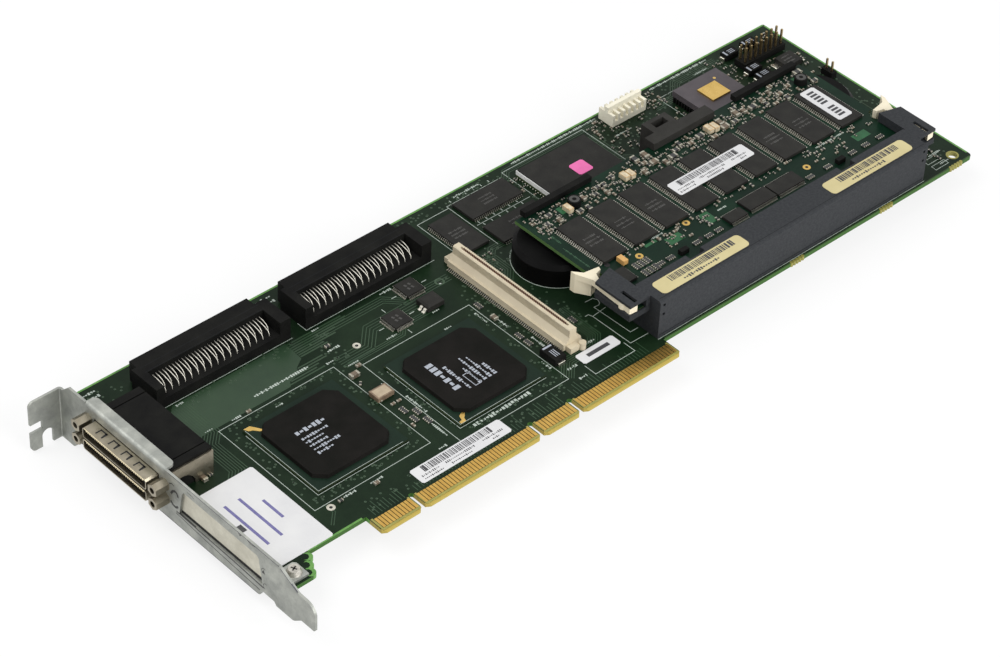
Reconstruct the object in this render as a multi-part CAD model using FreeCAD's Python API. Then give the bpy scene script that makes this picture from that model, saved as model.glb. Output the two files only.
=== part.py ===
import FreeCAD, Part
import math
import os

# RAID controller card: a full-length 64-bit PCI card, lying component side up.
# All sizes are millimetres.  The building datum is the centre of the 3.3 V key
# (X), the lower edge of the edge connector (Y) and the component face of the
# board (Z).  X runs away from the slot bracket, Y towards the upper board edge.

V = FreeCAD.Vector

# ---------------------------------------------------------------- main board
CARD_LENGTH = 312.0          # bracket outer face to far board end
BRACKET_FACE_X = -57.07      # outer face of the slot bracket
BOARD_LEFT_X = -55.0
BOARD_RIGHT_X = BRACKET_FACE_X + CARD_LENGTH
BOARD_TOP_Y = 106.68
BOARD_T = 1.57
SHOULDER_Y = 8.25            # lower board edge beside the edge connector
BOARD_CORNER_R = 1.5
FAR_HOLE = (BOARD_RIGHT_X - 5.33, 12.6)
FAR_HOLE_R = 1.7
TOOLING_HOLE = (72.0, 74.5)
TOOLING_HOLE_R = 1.25
CORNER_FOOT_Y = -0.3         # foot of the board beside the bracket
CORNER_FOOT_X = -43.2

# ------------------------------------------------------------ edge connector
PAD_PITCH = 1.27
PAD_W = 1.02
PAD_Y0 = 1.6
PAD_Y1 = 6.05
PAD_T = 0.06
TONGUE_CORNER = 1.2
KEY_W = 1.8
KEY_TOP_Y = 7.4
KEY_CORNER = 0.5
KEY_33_X = 0.0
KEY_5_X = KEY_33_X + 38 * PAD_PITCH
KEY_64_X = KEY_5_X + 13 * PAD_PITCH
KEY_TO_PAD = 1.5 * PAD_PITCH  # key centre to the pads on both sides of it
FIRST_GROUP_PADS = 11
MIDDLE_GROUP_PADS = 36
LAST_GROUP_PADS = 11
LONG_GROUP_PADS = 32         # the 64-bit extension
FIRST_PAD_X = KEY_33_X - KEY_TO_PAD - PAD_PITCH * (FIRST_GROUP_PADS - 1)
LAST_PAD_X = KEY_64_X + KEY_TO_PAD + PAD_PITCH * (LONG_GROUP_PADS - 1)
TONGUE_LEFT_X = FIRST_PAD_X - 1.695
TONGUE_RIGHT_X = LAST_PAD_X + 1.155
BEVEL_Y = 1.4
BEVEL_Z = 0.45

# ------------------------------------------------------------------- bracket
SHEET_T = 0.86
BRACKET_TAB_Y = 103.1
BRACKET_LENGTH = 120.02
TAB_REACH = 11.43
FACE_LOW_Z = -5.2
FACE_HIGH_Z = 13.2
TAB_LOW_Z = -9.6
TAB_HIGH_Z = 10.0
BEND_R = 1.2
INNER_BEND_R = 0.35
SCREW_SLOT_W = 3.3
SCREW_SLOT_Z = -0.5
SCREW_SLOT_DEPTH = 4.4
U_CUT_X = -62.3
U_CUT_W = 4.1
U_CUT_TOP_Z = -3.4
HOOD_Y0 = 51.2
HOOD_Y1 = 89.6
HOOD_REACH = 4.2
HOOD_CORNER_R = 1.8
BOARD_TAB_Y0 = 0.7
BOARD_TAB_Y1 = 7.3
BOARD_TAB_END_X = -44.4
BOARD_TAB_CORNER = 0.9
WINDOW_ROOM = 0.35           # round the stacked connector in the bracket
SLOT_Y0 = 6.4
SLOT_Y1 = 44.7
SLOT_Z0 = 0.2
SLOT_Z1 = 10.1
SLOT_TAPER = 1.6
SLOT_CORNER = 0.9
COVER_T = 0.8
COVER_Z0 = 1.1
COVER_Z1 = 11.6
COVER_Y0 = 4.6
COVER_Y1 = 47.0
COVER_CORNER = 0.8
BRACKET_SCREW = (-47.4, 3.9)
BRACKET_SCREW_R = 2.5
BRACKET_SCREW_H = 1.5

# -------------------------------------------------------- external connector
EXT_Y = 69.6                 # centre of the stacked pair
EXT_SHELL_LEN = 30.6
EXT_SHELL_H = 4.0
EXT_SHELL_CORNER = 0.6
EXT_SHELL_WALL = 0.35
EXT_UPPER_Z = 7.2
EXT_LOWER_Z = 2.6
EXT_PROUD = 4.6
EXT_GAP = 0.1                # between the bracket sheet and the connector
EXT_HOUSING_Y0 = 52.7
EXT_HOUSING_Y1 = 87.5
EXT_HOUSING_END_X = -38.3
EXT_HOUSING_H = 10.0
EXT_CAP_W = 3.0
EXT_GROOVE = 0.45
EXT_TONGUE_LEN = 27.4
EXT_TONGUE_T = 1.3
EXT_TONGUE_SHORT = 0.9
EXT_INSERT_T = 1.4
EXT_INSERT_FIT = 0.02
SHIELD_T = 0.7
SHIELD_H = 9.1
SHIELD_LIFT = 0.05
SHIELD_SET_BACK = 0.4
SHIELD_HOLLOW_R = 5.2
SHIELD_HOLLOW_IN = 5.6
SPRING_COUNT = 4
SPRING_PITCH = 7.1
SPRING_W = 2.4
SPRING_LEN = 2.3
SPRING_CUT = 0.5
SPRING_INSET = 1.2
POST_SPACING_Y = 37.0
POST_UPPER_Z = 7.7
POST_LOWER_Z = 2.2
POST_FLATS = 3.8
POST_LEN = 4.9
POST_BORE_R = 1.05
POST_BORE_DEPTH = 4.2

# ------------------------------------------------------- internal connectors
INT_LEFT_XS = (-34.4, 24.3)
INT_LEN = 52.6
INT_Y0 = 84.1
INT_Y1 = 96.5
INT_H = 8.3
INT_FRONT_Y1 = 100.1
INT_FRONT_Z0 = 0.4
INT_FRONT_INSET_LEFT = 1.9
INT_FRONT_INSET_RIGHT = 4.6
INT_WELL_INSET_LEFT = 3.1
INT_WELL_INSET_RIGHT = 4.2
INT_WELL_Y1 = 92.5
INT_WELL_Z = 3.4
INT_MATE_INSET = 2.2
INT_MATE_DEPTH = 6.5
INT_MATE_H = 5.0
INT_MATE_SLOPE = 1.2
INT_TONGUE_T = 1.5
INT_TONGUE_INSET = 1.6
INT_TONGUE_SHORT = 0.5
TAIL_COUNT = 34
TAIL_PITCH = 1.27
TAIL_W = 0.34
TAIL_T = 0.3
TAIL_Z = 6.3
TAIL_END_Y = 86.2

# --------------------------------------------------------------------- chips
SEAT = 0.3                   # solder gap under ball-grid packages
BGA_SIZE = 35.5
BGA_BASE_T = 0.6
BGA_CAP_SIZE = 30.6
BGA_CAP_H = 1.2
BGA_CAP_CORNER = 3.4
BGA_CAP_DRAFT = 0.7
SCSI_CHIP_AT = (-2.9, 42.5)
BRIDGE_CHIP_AT = (48.8, 37.0)
RAID_CHIP_AT = (143.0, 83.1)
RAID_CHIP_SIZE = 31.0
RAID_CHIP_BASE_T = 0.9
RAID_SPREADER_T = 1.5
RAID_TOP_T = 0.45
RAID_TOP_EDGE = 0.7
CPU_AT = (BOARD_RIGHT_X - 46.83, 85.7)
CPU_LEN = 21.0
CPU_WID = 19.0
CPU_SOCKET_T = 2.2
CPU_BODY_T = 2.2
CPU_LID_LEN = 8.5
CPU_LID_WID = 7.7
CPU_LID_T = 0.7
CPU_SEAT_INSET = 0.3
CRYSTAL_AT = (22.4, 45.8)
CRYSTAL_LEN = 6.4
CRYSTAL_WID = 4.6
CRYSTAL_H = 1.6
FLAT_PACK_ATS = ((62.0, 78.0), (48.8, 68.8))
FLAT_PACK_SIZE = 7.0
FLAT_PACK_H = 1.3
TSOP_LEN = 22.2
TSOP_WID = 10.2
TSOP_H = 1.05
TSOP_SEAT = 0.15
LOW_SEAT = 0.1               # under moulded blocks on flat tabs
BOARD_TSOP_ATS = ((111.7, 95.2), (111.7, 80.1))
UPRIGHT_TSOP_AT = (92.3, 88.0)
UPRIGHT_TSOP_LEN = 18.4
POWER_BLOCK_AT = (62.4, 68.2)
POWER_BLOCK_LEN = 6.8
POWER_BLOCK_WID = 5.8
POWER_BLOCK_H = 2.5
POWER_BLOCK_EDGE = 0.6
FAR_CAP_X = BOARD_RIGHT_X - 23.53
TANTALUM_ATS = ((FAR_CAP_X, 100.6), (FAR_CAP_X + 9.5, 100.6), (FAR_CAP_X, 89.0), (FAR_CAP_X, 84.2))
TANTALUM_LEN = 6.0
TANTALUM_WID = 3.2
TANTALUM_H = 2.4
BIG_TANTALUM_AT = (74.3, 24.2)
BIG_TANTALUM_LEN = 7.3
BIG_TANTALUM_WID = 4.6
BIG_TANTALUM_H = 2.7
REGULATOR_AT = (BOARD_RIGHT_X - 10.33, 84.6)
REGULATOR_LEN = 7.6
REGULATOR_WID = 6.2
REGULATOR_H = 2.3

# ------------------------------------------------------- mezzanine connector
MEZZ_X = 82.6
MEZZ_BASE_W = 7.4
MEZZ_Y0 = 24.2
MEZZ_Y1 = 78.6
MEZZ_EAR = 2.4
MEZZ_BASE_H = 2.6
MEZZ_STEP_W = 5.6
MEZZ_STEP_H = 4.4
MEZZ_RIDGE_W = 2.9
MEZZ_RIDGE_H = 7.6
MEZZ_RIDGE_EDGE = 0.35
MEZZ_SLOT_W = 0.8
MEZZ_SLOT_DEPTH = 3.0
MEZZ_SLOT_MARGIN = 2.2
MEZZ_POST_R = 1.2
MEZZ_POST_INSET = 1.6
MEZZ_EAR_INSET = 0.9
MEZZ_EAR_DROP = 0.5

# --------------------------------------------------------- headers at far end
WIRE_HEADER_X0 = 171.4
WIRE_HEADER_X1 = 187.2
WIRE_HEADER_Y0 = 97.4
WIRE_HEADER_Y1 = 104.4
WIRE_HEADER_BASE_H = 2.0
WIRE_HEADER_WALL_T = 1.5
WIRE_HEADER_H = 6.6
WIRE_FIN_COUNT = 7
WIRE_FIN_W = 1.1
WIRE_FIN_H = 4.6
PIN_PITCH = 2.54
PIN_W = 0.64
PIN_COLUMNS = 8
PIN_HEADER_X0 = BOARD_RIGHT_X - 24.03     # first pin column
PIN_HEADER_Y0 = 92.5         # first pin row
PIN_BASE_H = 2.5
PIN_TOP_Z = 8.5
PIN_TAIL = 1.5               # pins stand this far under the board
JUMPER_AT = (BOARD_RIGHT_X - 4.33, 69.6)
JUMPER_TOP_Z = 6.4

# ------------------------------------------------------------- cache module
MODULE_LEN = 133.35
SOCKET_MID_X = 168.6
MODULE_X0 = SOCKET_MID_X - MODULE_LEN / 2
MODULE_X1 = SOCKET_MID_X + MODULE_LEN / 2
MODULE_Y0 = 15.1
MODULE_Y1 = 72.0
MODULE_Z0 = 9.83
MODULE_T = 1.27
MODULE_TOP = MODULE_Z0 + MODULE_T
MODULE_NOTCH_Y = 35.5
MODULE_NOTCH_R = 3.0
MODULE_CHIP_COUNT = 9
MODULE_CHIP_X0 = MODULE_X0 + 11.7
MODULE_CHIP_PITCH = 13.875
MODULE_CHIP_Y = 48.5
LOGIC_H = 0.95
BUFFER_ATS = ((169.6, 29.0), (182.6, 28.8))
BUFFER_LEN = 12.4
BUFFER_WID = 6.1
SMALL_LOGIC_AT = (157.9, 27.5)
SMALL_LOGIC_LEN = 7.8
SMALL_LOGIC_WID = 4.4
CLOCK_CHIP_AT = (MODULE_X0 + 7.575, 29.0)
CLOCK_CHIP_LEN = 6.8
MODULE_INDUCTORS = ((MODULE_X0 + 20.375, 65.8), (MODULE_X1 - 7.375, 64.4))
MODULE_INDUCTOR_R = 2.3
MODULE_INDUCTOR_FLATS = 16
MODULE_INDUCTOR_H = 2.4
BLOCK_CAPS = ((113.9, 34.8), (118.7, 64.8), (144.6, 65.2), (146.9, 64.8), (184.1, 65.4), (186.4, 65.0))
BLOCK_CAP_LEN = 3.4
BLOCK_CAP_WID = 2.0
BLOCK_CAP_H = 1.7

# ------------------------------------------------------------- memory socket
MODULE_PAST_SOCKET = 3.975   # module edge beyond the socket body at each end
SOCKET_HALF = MODULE_LEN / 2 - MODULE_PAST_SOCKET
SOCKET_LEFT_X = SOCKET_MID_X - SOCKET_HALF
SOCKET_RIGHT_X = SOCKET_MID_X + SOCKET_HALF
SOCKET_Y0 = 9.6
SOCKET_Y1 = 21.0
SOCKET_H = 15.0
SOCKET_EDGE = 0.5            # chamfer along the front top edge
SOCKET_SLOT_CLEAR = 0.17
SOCKET_SLOT_END_CLEAR = 0.4
SOCKET_SLOT_Y0 = 14.7
SOCKET_NOTCH_XS = (131.5, 202.0)
SOCKET_NOTCH_W = 6.6
SOCKET_NOTCH_D = 2.2
SOCKET_PIT = 1.0
SOCKET_PIT_INSET = 1.3
SOCKET_PIT_ZS = (8.9, 12.6)
ARM_OUT_X = SOCKET_LEFT_X - 8.8
ARM_IN_X = SOCKET_LEFT_X - 0.4
ARM_Y0 = 14.2
ARM_END_OUT_Y = 30.0
ARM_END_IN_Y = 32.3
ARM_Z0 = 8.8                 # the arm hangs free of the board
ARM_SLOT_X = SOCKET_LEFT_X - 5.6
ARM_SLOT_W = 1.4
ARM_SLOT_Y0 = 15.0
ARM_SLOT_LEN = 6.4
LEVER_FIT = 0.3              # above and below the lever in its pocket
LEVER_OVER_MODULE = 0.2      # the toe swings over the module's lower corner
POCKET_Z0 = MODULE_TOP + LEVER_OVER_MODULE - LEVER_FIT
POCKET_Z1 = 14.0
POCKET_X = SOCKET_LEFT_X - 4.55
POCKET_HEEL_X = SOCKET_LEFT_X - 1.65
POCKET_HEEL_Y = 23.5
MODULE_ROOM = 0.5            # round the module edge where it lies in an arm

# ------------------------------------------------------------- latch levers
LATCH_PIVOT = (SOCKET_LEFT_X - 7.2, 18.6)
LATCH_PIN_R = 0.85
LATCH_FIT = 0.06             # radial running fit on the pin
LATCH_Z0 = POCKET_Z0 + LEVER_FIT
LATCH_Z1 = POCKET_Z1 - LEVER_FIT
LATCH_HEAD_Z0 = 6.2
LATCH_EYE_R = 1.6
LATCH_HOOK_Z0 = MODULE_Z0 - 1.23    # the hook reaches under the module

# ------------------------------------------------- battery packs and clips
BATTERY_LEFT = (MODULE_X0 + 6.27, 59.0)
BATTERY_R = 14.2
BATTERY_H = 7.9
BATTERY_EDGE = 1.4           # height and depth of the bevelled rim
BATTERY_FIT = 0.02           # between the pack and its clip
CLIP_X0 = MODULE_X0 + 3.15
CLIP_X1 = CLIP_X0 + 29.8
CLIP_GAP = 0.25              # between the clip and the module faces
CLIP_LIP_Y0 = MODULE_Y1 - 1.3
CLIP_WALL_Y0 = MODULE_Y1 + CLIP_GAP
CLIP_WALL_Y1 = CLIP_WALL_Y0 + 0.8
CLIP_TOP_Z = MODULE_TOP + 2.3
CLIP_ARM_Z0 = 4.2
CLIP_ARM_X0 = CLIP_X0 + 2.0
CLIP_ARM_X1 = CLIP_ARM_X0 + 8.0
SUPPORT_BAR_Y0 = MODULE_Y1 - 2.8
SUPPORT_BAR_Y1 = MODULE_Y1 + 1.8
SUPPORT_TOP_Z = MODULE_TOP + 3.0
SUPPORT_BAR_X0 = 162.1
SUPPORT_BAR_X1 = 190.5
SUPPORT_X0 = 166.5
SUPPORT_X1 = 177.3
SUPPORT_Y1 = 79.8
SUPPORT_HOLE_X0 = 169.1
SUPPORT_HOLE_X1 = 174.8
SUPPORT_HOLE_Y0 = 75.2
SUPPORT_HOLE_Y1 = 78.2
SUPPORT_HOLE_DEPTH = 9.0

# -------------------------------------------------------------------- labels
PAPER_T = 0.12
LABEL_CORNER = 0.6
SLOT_LABEL = (-54.2, -28.2, 8.7, 46.7)
BAR_LABEL = (6.0, 42.2, 7.9, 14.6)
SMALL_LABEL = (80.0, 96.0, 15.6, 20.4)
MODULE_LABEL = (151.3, 186.1, 45.7, 52.6)
CHIP_LABEL = (MODULE_X1 - 13.975, MODULE_X1 - 7.375, 40.2, 59.0)
SOCKET_LABELS = (
    (SOCKET_LEFT_X + 3.6, SOCKET_LEFT_X + 42.5, 11.6, 18.0),
    (SOCKET_RIGHT_X - 43.7, SOCKET_RIGHT_X - 4.9, 11.6, 18.0),
)
PINK_LABEL = (142.0, 148.2, 82.6, 88.8)


# ------------------------------------------------------------------- helpers
def box(x0, x1, y0, y1, z0, z1):
    return Part.makeBox(x1 - x0, y1 - y0, z1 - z0, V(x0, y0, z0))


def block(at, length, width, z0, z1):
    return box(at[0] - length / 2, at[0] + length / 2,
               at[1] - width / 2, at[1] + width / 2, z0, z1)


def rod(at, radius, z0, z1):
    return Part.makeCylinder(radius, z1 - z0, V(at[0], at[1], z0))


def rounded_wire(points):
    """Closed flat outline; a third number on a point is its corner radius."""
    ends = []
    count = len(points)
    for i, point in enumerate(points):
        corner = V(point[0], point[1], 0)
        radius = point[2] if len(point) > 2 else 0
        if radius == 0:
            ends.append((corner, None, corner))
            continue
        before = points[i - 1]
        after = points[(i + 1) % count]
        to_before = (V(before[0], before[1], 0) - corner).normalize()
        to_after = (V(after[0], after[1], 0) - corner).normalize()
        half = to_before.getAngle(to_after) / 2
        setback = radius / math.tan(half)
        middle = (to_before + to_after).normalize()
        centre = corner + middle * (radius / math.sin(half))
        ends.append((corner + to_before * setback,
                     centre - middle * radius,
                     corner + to_after * setback))
    edges = []
    for i, (start, crown, finish) in enumerate(ends):
        if crown is not None:
            edges.append(Part.Arc(start, crown, finish).toShape())
        following = ends[(i + 1) % count][0]
        if finish.distanceToPoint(following) > 1e-6:
            edges.append(Part.makeLine(finish, following))
    return Part.Wire(edges)


def plate(points, z0, z1):
    """Outline in X and Y, thickness in Z."""
    solid = Part.Face(rounded_wire(points)).extrude(V(0, 0, z1 - z0))
    solid.translate(V(0, 0, z0))
    return solid


def plate_yz(points, x0, x1):
    """Outline in Y and Z, thickness in X."""
    solid = Part.Face(rounded_wire(points)).extrude(V(0, 0, x1 - x0))
    solid.rotate(V(0, 0, 0), V(1, 1, 1), 120)
    solid.translate(V(x0, 0, 0))
    return solid


def plate_xz(points, y0, y1):
    """Outline in X and Z, thickness in Y."""
    solid = Part.Face(rounded_wire(points)).extrude(V(0, 0, y1 - y0))
    solid.rotate(V(0, 0, 0), V(1, 0, 0), 90)
    solid.translate(V(0, y1, 0))
    return solid


def rectangle(x0, x1, y0, y1):
    return [(x0, y0), (x1, y0), (x1, y1), (x0, y1)]


def cut_corners(x0, x1, y0, y1, cut):
    """Rectangle with its four corners cut at 45 degrees."""
    return [
        (x0 + cut, y0), (x1 - cut, y0), (x1, y0 + cut), (x1, y1 - cut),
        (x1 - cut, y1), (x0 + cut, y1), (x0, y1 - cut), (x0, y0 + cut),
    ]


def pad_positions():
    """X of every contact pad along the edge connector."""
    groups = (
        (FIRST_PAD_X, FIRST_GROUP_PADS),
        (KEY_33_X + KEY_TO_PAD, MIDDLE_GROUP_PADS),
        (KEY_5_X + KEY_TO_PAD, LAST_GROUP_PADS),
        (KEY_64_X + KEY_TO_PAD, LONG_GROUP_PADS),
    )
    places = []
    for first_x, pads in groups:
        places += [first_x + PAD_PITCH * i for i in range(pads)]
    return places


def mirrored(shape):
    """The same shape at the other end of the memory socket."""
    return shape.mirror(V(SOCKET_MID_X, 0, 0), V(1, 0, 0))


# ---------------------------------------------------------------- main board
def main_board():
    foot_step = 2.4
    outline = [
        (BOARD_LEFT_X, CORNER_FOOT_Y),
        (CORNER_FOOT_X - 0.4, CORNER_FOOT_Y),
        (CORNER_FOOT_X + 0.3, CORNER_FOOT_Y + 0.6),
        (CORNER_FOOT_X + 1.4, CORNER_FOOT_Y + foot_step),
        (CORNER_FOOT_X + 2.2, CORNER_FOOT_Y + 2 * foot_step),
        (CORNER_FOOT_X + 4.4, SHOULDER_Y - 1.8),
        (CORNER_FOOT_X + 4.6, SHOULDER_Y),
        (TONGUE_LEFT_X, SHOULDER_Y),
        (TONGUE_LEFT_X, TONGUE_CORNER),
        (TONGUE_LEFT_X + TONGUE_CORNER, 0),
    ]
    for key in (KEY_33_X, KEY_5_X, KEY_64_X):
        outline += [
            (key - KEY_W / 2 - TONGUE_CORNER, 0),
            (key - KEY_W / 2, TONGUE_CORNER),
            (key - KEY_W / 2, KEY_TOP_Y - KEY_CORNER),
            (key - KEY_W / 2 + KEY_CORNER, KEY_TOP_Y),
            (key + KEY_W / 2 - KEY_CORNER, KEY_TOP_Y),
            (key + KEY_W / 2, KEY_TOP_Y - KEY_CORNER),
            (key + KEY_W / 2, TONGUE_CORNER),
            (key + KEY_W / 2 + TONGUE_CORNER, 0),
        ]
    outline += [
        (TONGUE_RIGHT_X - TONGUE_CORNER, 0),
        (TONGUE_RIGHT_X, TONGUE_CORNER),
        (TONGUE_RIGHT_X, SHOULDER_Y),
        (BOARD_RIGHT_X, SHOULDER_Y, BOARD_CORNER_R),
        (BOARD_RIGHT_X, BOARD_TOP_Y, BOARD_CORNER_R / 2),
        (BOARD_LEFT_X, BOARD_TOP_Y),
    ]
    board = plate(outline, -BOARD_T, 0)
    past = 1.0
    bevel_top = [(-past, past), (-past, -BEVEL_Z * (1 + past / BEVEL_Y)), (BEVEL_Y, 0), (BEVEL_Y, past)]
    bevel_low = [(y, -BOARD_T - z) for y, z in bevel_top]
    for bevel in (bevel_top, bevel_low):
        board = board.cut(plate_yz(bevel, TONGUE_LEFT_X - past, TONGUE_RIGHT_X + past))
    board = board.cut(rod(FAR_HOLE, FAR_HOLE_R, -BOARD_T - past, past))
    board = board.cut(rod(TOOLING_HOLE, TOOLING_HOLE_R, -BOARD_T - past, past))
    return board


def contact_pads(z0, z1):
    return [box(x - PAD_W / 2, x + PAD_W / 2, PAD_Y0, PAD_Y1, z0, z1) for x in pad_positions()]


# ------------------------------------------------------------------- bracket
def bracket():
    tip_y = BRACKET_TAB_Y - BRACKET_LENGTH
    inner_x = BRACKET_FACE_X + SHEET_T
    face = plate_yz([
        (tip_y + 0.5, -1.1),
        (-10.9, -1.1),
        (-7.9, -3.5),
        (-7.0, -3.9),
        (0.2, -3.9),
        (1.2, -2.7),
        (6.7, -2.7),
        (7.6, FACE_LOW_Z + 0.4),
        (8.3, FACE_LOW_Z),
        (93.0, FACE_LOW_Z),
        (95.6, TAB_LOW_Z + 0.6),
        (96.4, TAB_LOW_Z),
        (BRACKET_TAB_Y - 2.1, TAB_LOW_Z),
        (BRACKET_TAB_Y - 2.1, TAB_HIGH_Z),
        (BRACKET_TAB_Y - 5.4, FACE_HIGH_Z),
        (-1.4, FACE_HIGH_Z, 3.0),
        (-9.6, 8.6, 2.0),
        (tip_y, 8.4, 4.0),
        (tip_y, -0.6),
    ], BRACKET_FACE_X, inner_x)

    # Outward screw tab over its bend.
    tab_end_x = BRACKET_FACE_X - TAB_REACH
    bend = plate([
        (inner_x, BRACKET_TAB_Y - 2.1),
        (inner_x, BRACKET_TAB_Y, BEND_R),
        (tab_end_x, BRACKET_TAB_Y),
        (tab_end_x, BRACKET_TAB_Y - SHEET_T),
        (BRACKET_FACE_X, BRACKET_TAB_Y - SHEET_T, INNER_BEND_R),
        (BRACKET_FACE_X, BRACKET_TAB_Y - 2.1),
    ], TAB_LOW_Z, TAB_HIGH_Z)
    tab_plan = plate_xz([
        (inner_x, TAB_LOW_Z),
        (inner_x, TAB_HIGH_Z),
        (tab_end_x, TAB_HIGH_Z, 1.8),
        (tab_end_x, TAB_LOW_Z, 1.8),
    ], BRACKET_TAB_Y - 3, BRACKET_TAB_Y + 1)
    slot_mid = SCREW_SLOT_Z
    screw_slot = plate_xz([
        (tab_end_x - 1, slot_mid - SCREW_SLOT_W / 2),
        (tab_end_x - 1, slot_mid + SCREW_SLOT_W / 2),
        (tab_end_x + SCREW_SLOT_DEPTH, slot_mid + SCREW_SLOT_W / 2),
        (tab_end_x + SCREW_SLOT_DEPTH, slot_mid - SCREW_SLOT_W / 2),
    ], BRACKET_TAB_Y - 3, BRACKET_TAB_Y + 1)
    u_cut = plate_xz([
        (U_CUT_X - U_CUT_W / 2, TAB_LOW_Z - 1),
        (U_CUT_X - U_CUT_W / 2, U_CUT_TOP_Z, U_CUT_W / 2 - 0.05),
        (U_CUT_X + U_CUT_W / 2, U_CUT_TOP_Z, U_CUT_W / 2 - 0.05),
        (U_CUT_X + U_CUT_W / 2, TAB_LOW_Z - 1),
    ], BRACKET_TAB_Y - 3, BRACKET_TAB_Y + 1)
    tab = bend.common(tab_plan).cut(screw_slot).cut(u_cut)

    # Hood folded inwards over the external connector.
    hood_root_z = FACE_HIGH_Z - 2.2
    face = face.cut(box(BRACKET_FACE_X - 1, inner_x + 1, HOOD_Y0, HOOD_Y1, hood_root_z, FACE_HIGH_Z + 1))
    hood_end_x = BRACKET_FACE_X + HOOD_REACH
    hood = plate_xz([
        (BRACKET_FACE_X, hood_root_z),
        (BRACKET_FACE_X, FACE_HIGH_Z, BEND_R),
        (hood_end_x, FACE_HIGH_Z),
        (hood_end_x, FACE_HIGH_Z - SHEET_T),
        (inner_x, FACE_HIGH_Z - SHEET_T, INNER_BEND_R),
        (inner_x, hood_root_z),
    ], HOOD_Y0, HOOD_Y1)
    hood = hood.common(plate([
        (BRACKET_FACE_X - 1, HOOD_Y0),
        (hood_end_x, HOOD_Y0, HOOD_CORNER_R),
        (hood_end_x, HOOD_Y1, HOOD_CORNER_R),
        (BRACKET_FACE_X - 1, HOOD_Y1),
    ], FACE_LOW_Z, FACE_HIGH_Z + 1))

    # Tab lying on the board under the screw.
    board_tab = plate([
        (BRACKET_FACE_X, BOARD_TAB_Y0),
        (BOARD_TAB_END_X, BOARD_TAB_Y0),
        (BOARD_TAB_END_X, BOARD_TAB_Y1 - BOARD_TAB_CORNER),
        (BOARD_TAB_END_X - BOARD_TAB_CORNER, BOARD_TAB_Y1),
        (BRACKET_FACE_X, BOARD_TAB_Y1),
    ], 0, SHEET_T)

    # Window for the stacked connector and the spare slot beside it.
    half_len = EXT_SHELL_LEN / 2 + WINDOW_ROOM
    half_h = EXT_SHELL_H / 2 + WINDOW_ROOM
    window = plate_yz(rectangle(
        EXT_Y - half_len, EXT_Y + half_len, EXT_LOWER_Z - half_h, EXT_UPPER_Z + half_h),
        BRACKET_FACE_X - 1, inner_x + 1)
    slot = plate_yz([
        (SLOT_Y0, SLOT_Z0),
        (SLOT_Y1, SLOT_Z0),
        (SLOT_Y1 - SLOT_TAPER, SLOT_Z1 - SLOT_CORNER),
        (SLOT_Y1 - SLOT_TAPER - SLOT_CORNER, SLOT_Z1),
        (SLOT_Y0 + SLOT_TAPER + SLOT_CORNER, SLOT_Z1),
        (SLOT_Y0 + SLOT_TAPER, SLOT_Z1 - SLOT_CORNER),
    ], BRACKET_FACE_X - 1, inner_x + 1)
    face = face.cut(window).cut(slot)
    board_tab = board_tab.cut(box(BRACKET_FACE_X - 1, inner_x - 0.4, -1, SLOT_Y1, -1, 2))
    sheet = face.fuse([tab, hood, board_tab])
    return sheet.removeSplitter()


def slot_cover():
    behind = BRACKET_FACE_X + SHEET_T
    outline = cut_corners(COVER_Y0, COVER_Y1, COVER_Z0, COVER_Z1, COVER_CORNER)
    return plate_yz(outline, behind, behind + COVER_T)


def bracket_screw():
    """Pan head standing on the board tab."""
    return Part.makeCone(BRACKET_SCREW_R, 0.72 * BRACKET_SCREW_R, BRACKET_SCREW_H,
                         V(BRACKET_SCREW[0], BRACKET_SCREW[1], SHEET_T))


# -------------------------------------------------------- external connector
def external_housing():
    front_x = BRACKET_FACE_X + SHEET_T + EXT_GAP
    body = box(front_x, EXT_HOUSING_END_X, EXT_HOUSING_Y0, EXT_HOUSING_Y1, 0, EXT_HOUSING_H)
    for y in (EXT_HOUSING_Y0 + EXT_CAP_W, EXT_HOUSING_Y1 - EXT_CAP_W):
        body = body.cut(box(front_x - 1, EXT_HOUSING_END_X + 1, y - EXT_GROOVE / 2, y + EXT_GROOVE / 2,
                            EXT_HOUSING_H - EXT_GROOVE, EXT_HOUSING_H + 1))
    return body


def external_shield():
    """Metal side plate with a round hollow at its lower bracket corner."""
    y1 = EXT_HOUSING_Y0
    x0 = BRACKET_FACE_X + SHEET_T + SHIELD_SET_BACK
    x1 = EXT_HOUSING_END_X
    side = box(x0, x1, y1 - SHIELD_T, y1, SHIELD_LIFT, SHIELD_H)
    hollow = Part.makeCylinder(SHIELD_HOLLOW_R, 4 * SHIELD_T,
                               V(x0 + SHIELD_HOLLOW_IN, y1 - 2 * SHIELD_T, 0), V(0, 1, 0))
    return side.cut(hollow)


def shell_outline(z, inset):
    half_y = EXT_SHELL_LEN / 2 - inset
    half_z = EXT_SHELL_H / 2 - inset
    return cut_corners(EXT_Y - half_y, EXT_Y + half_y, z - half_z, z + half_z, EXT_SHELL_CORNER - inset / 2)


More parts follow.
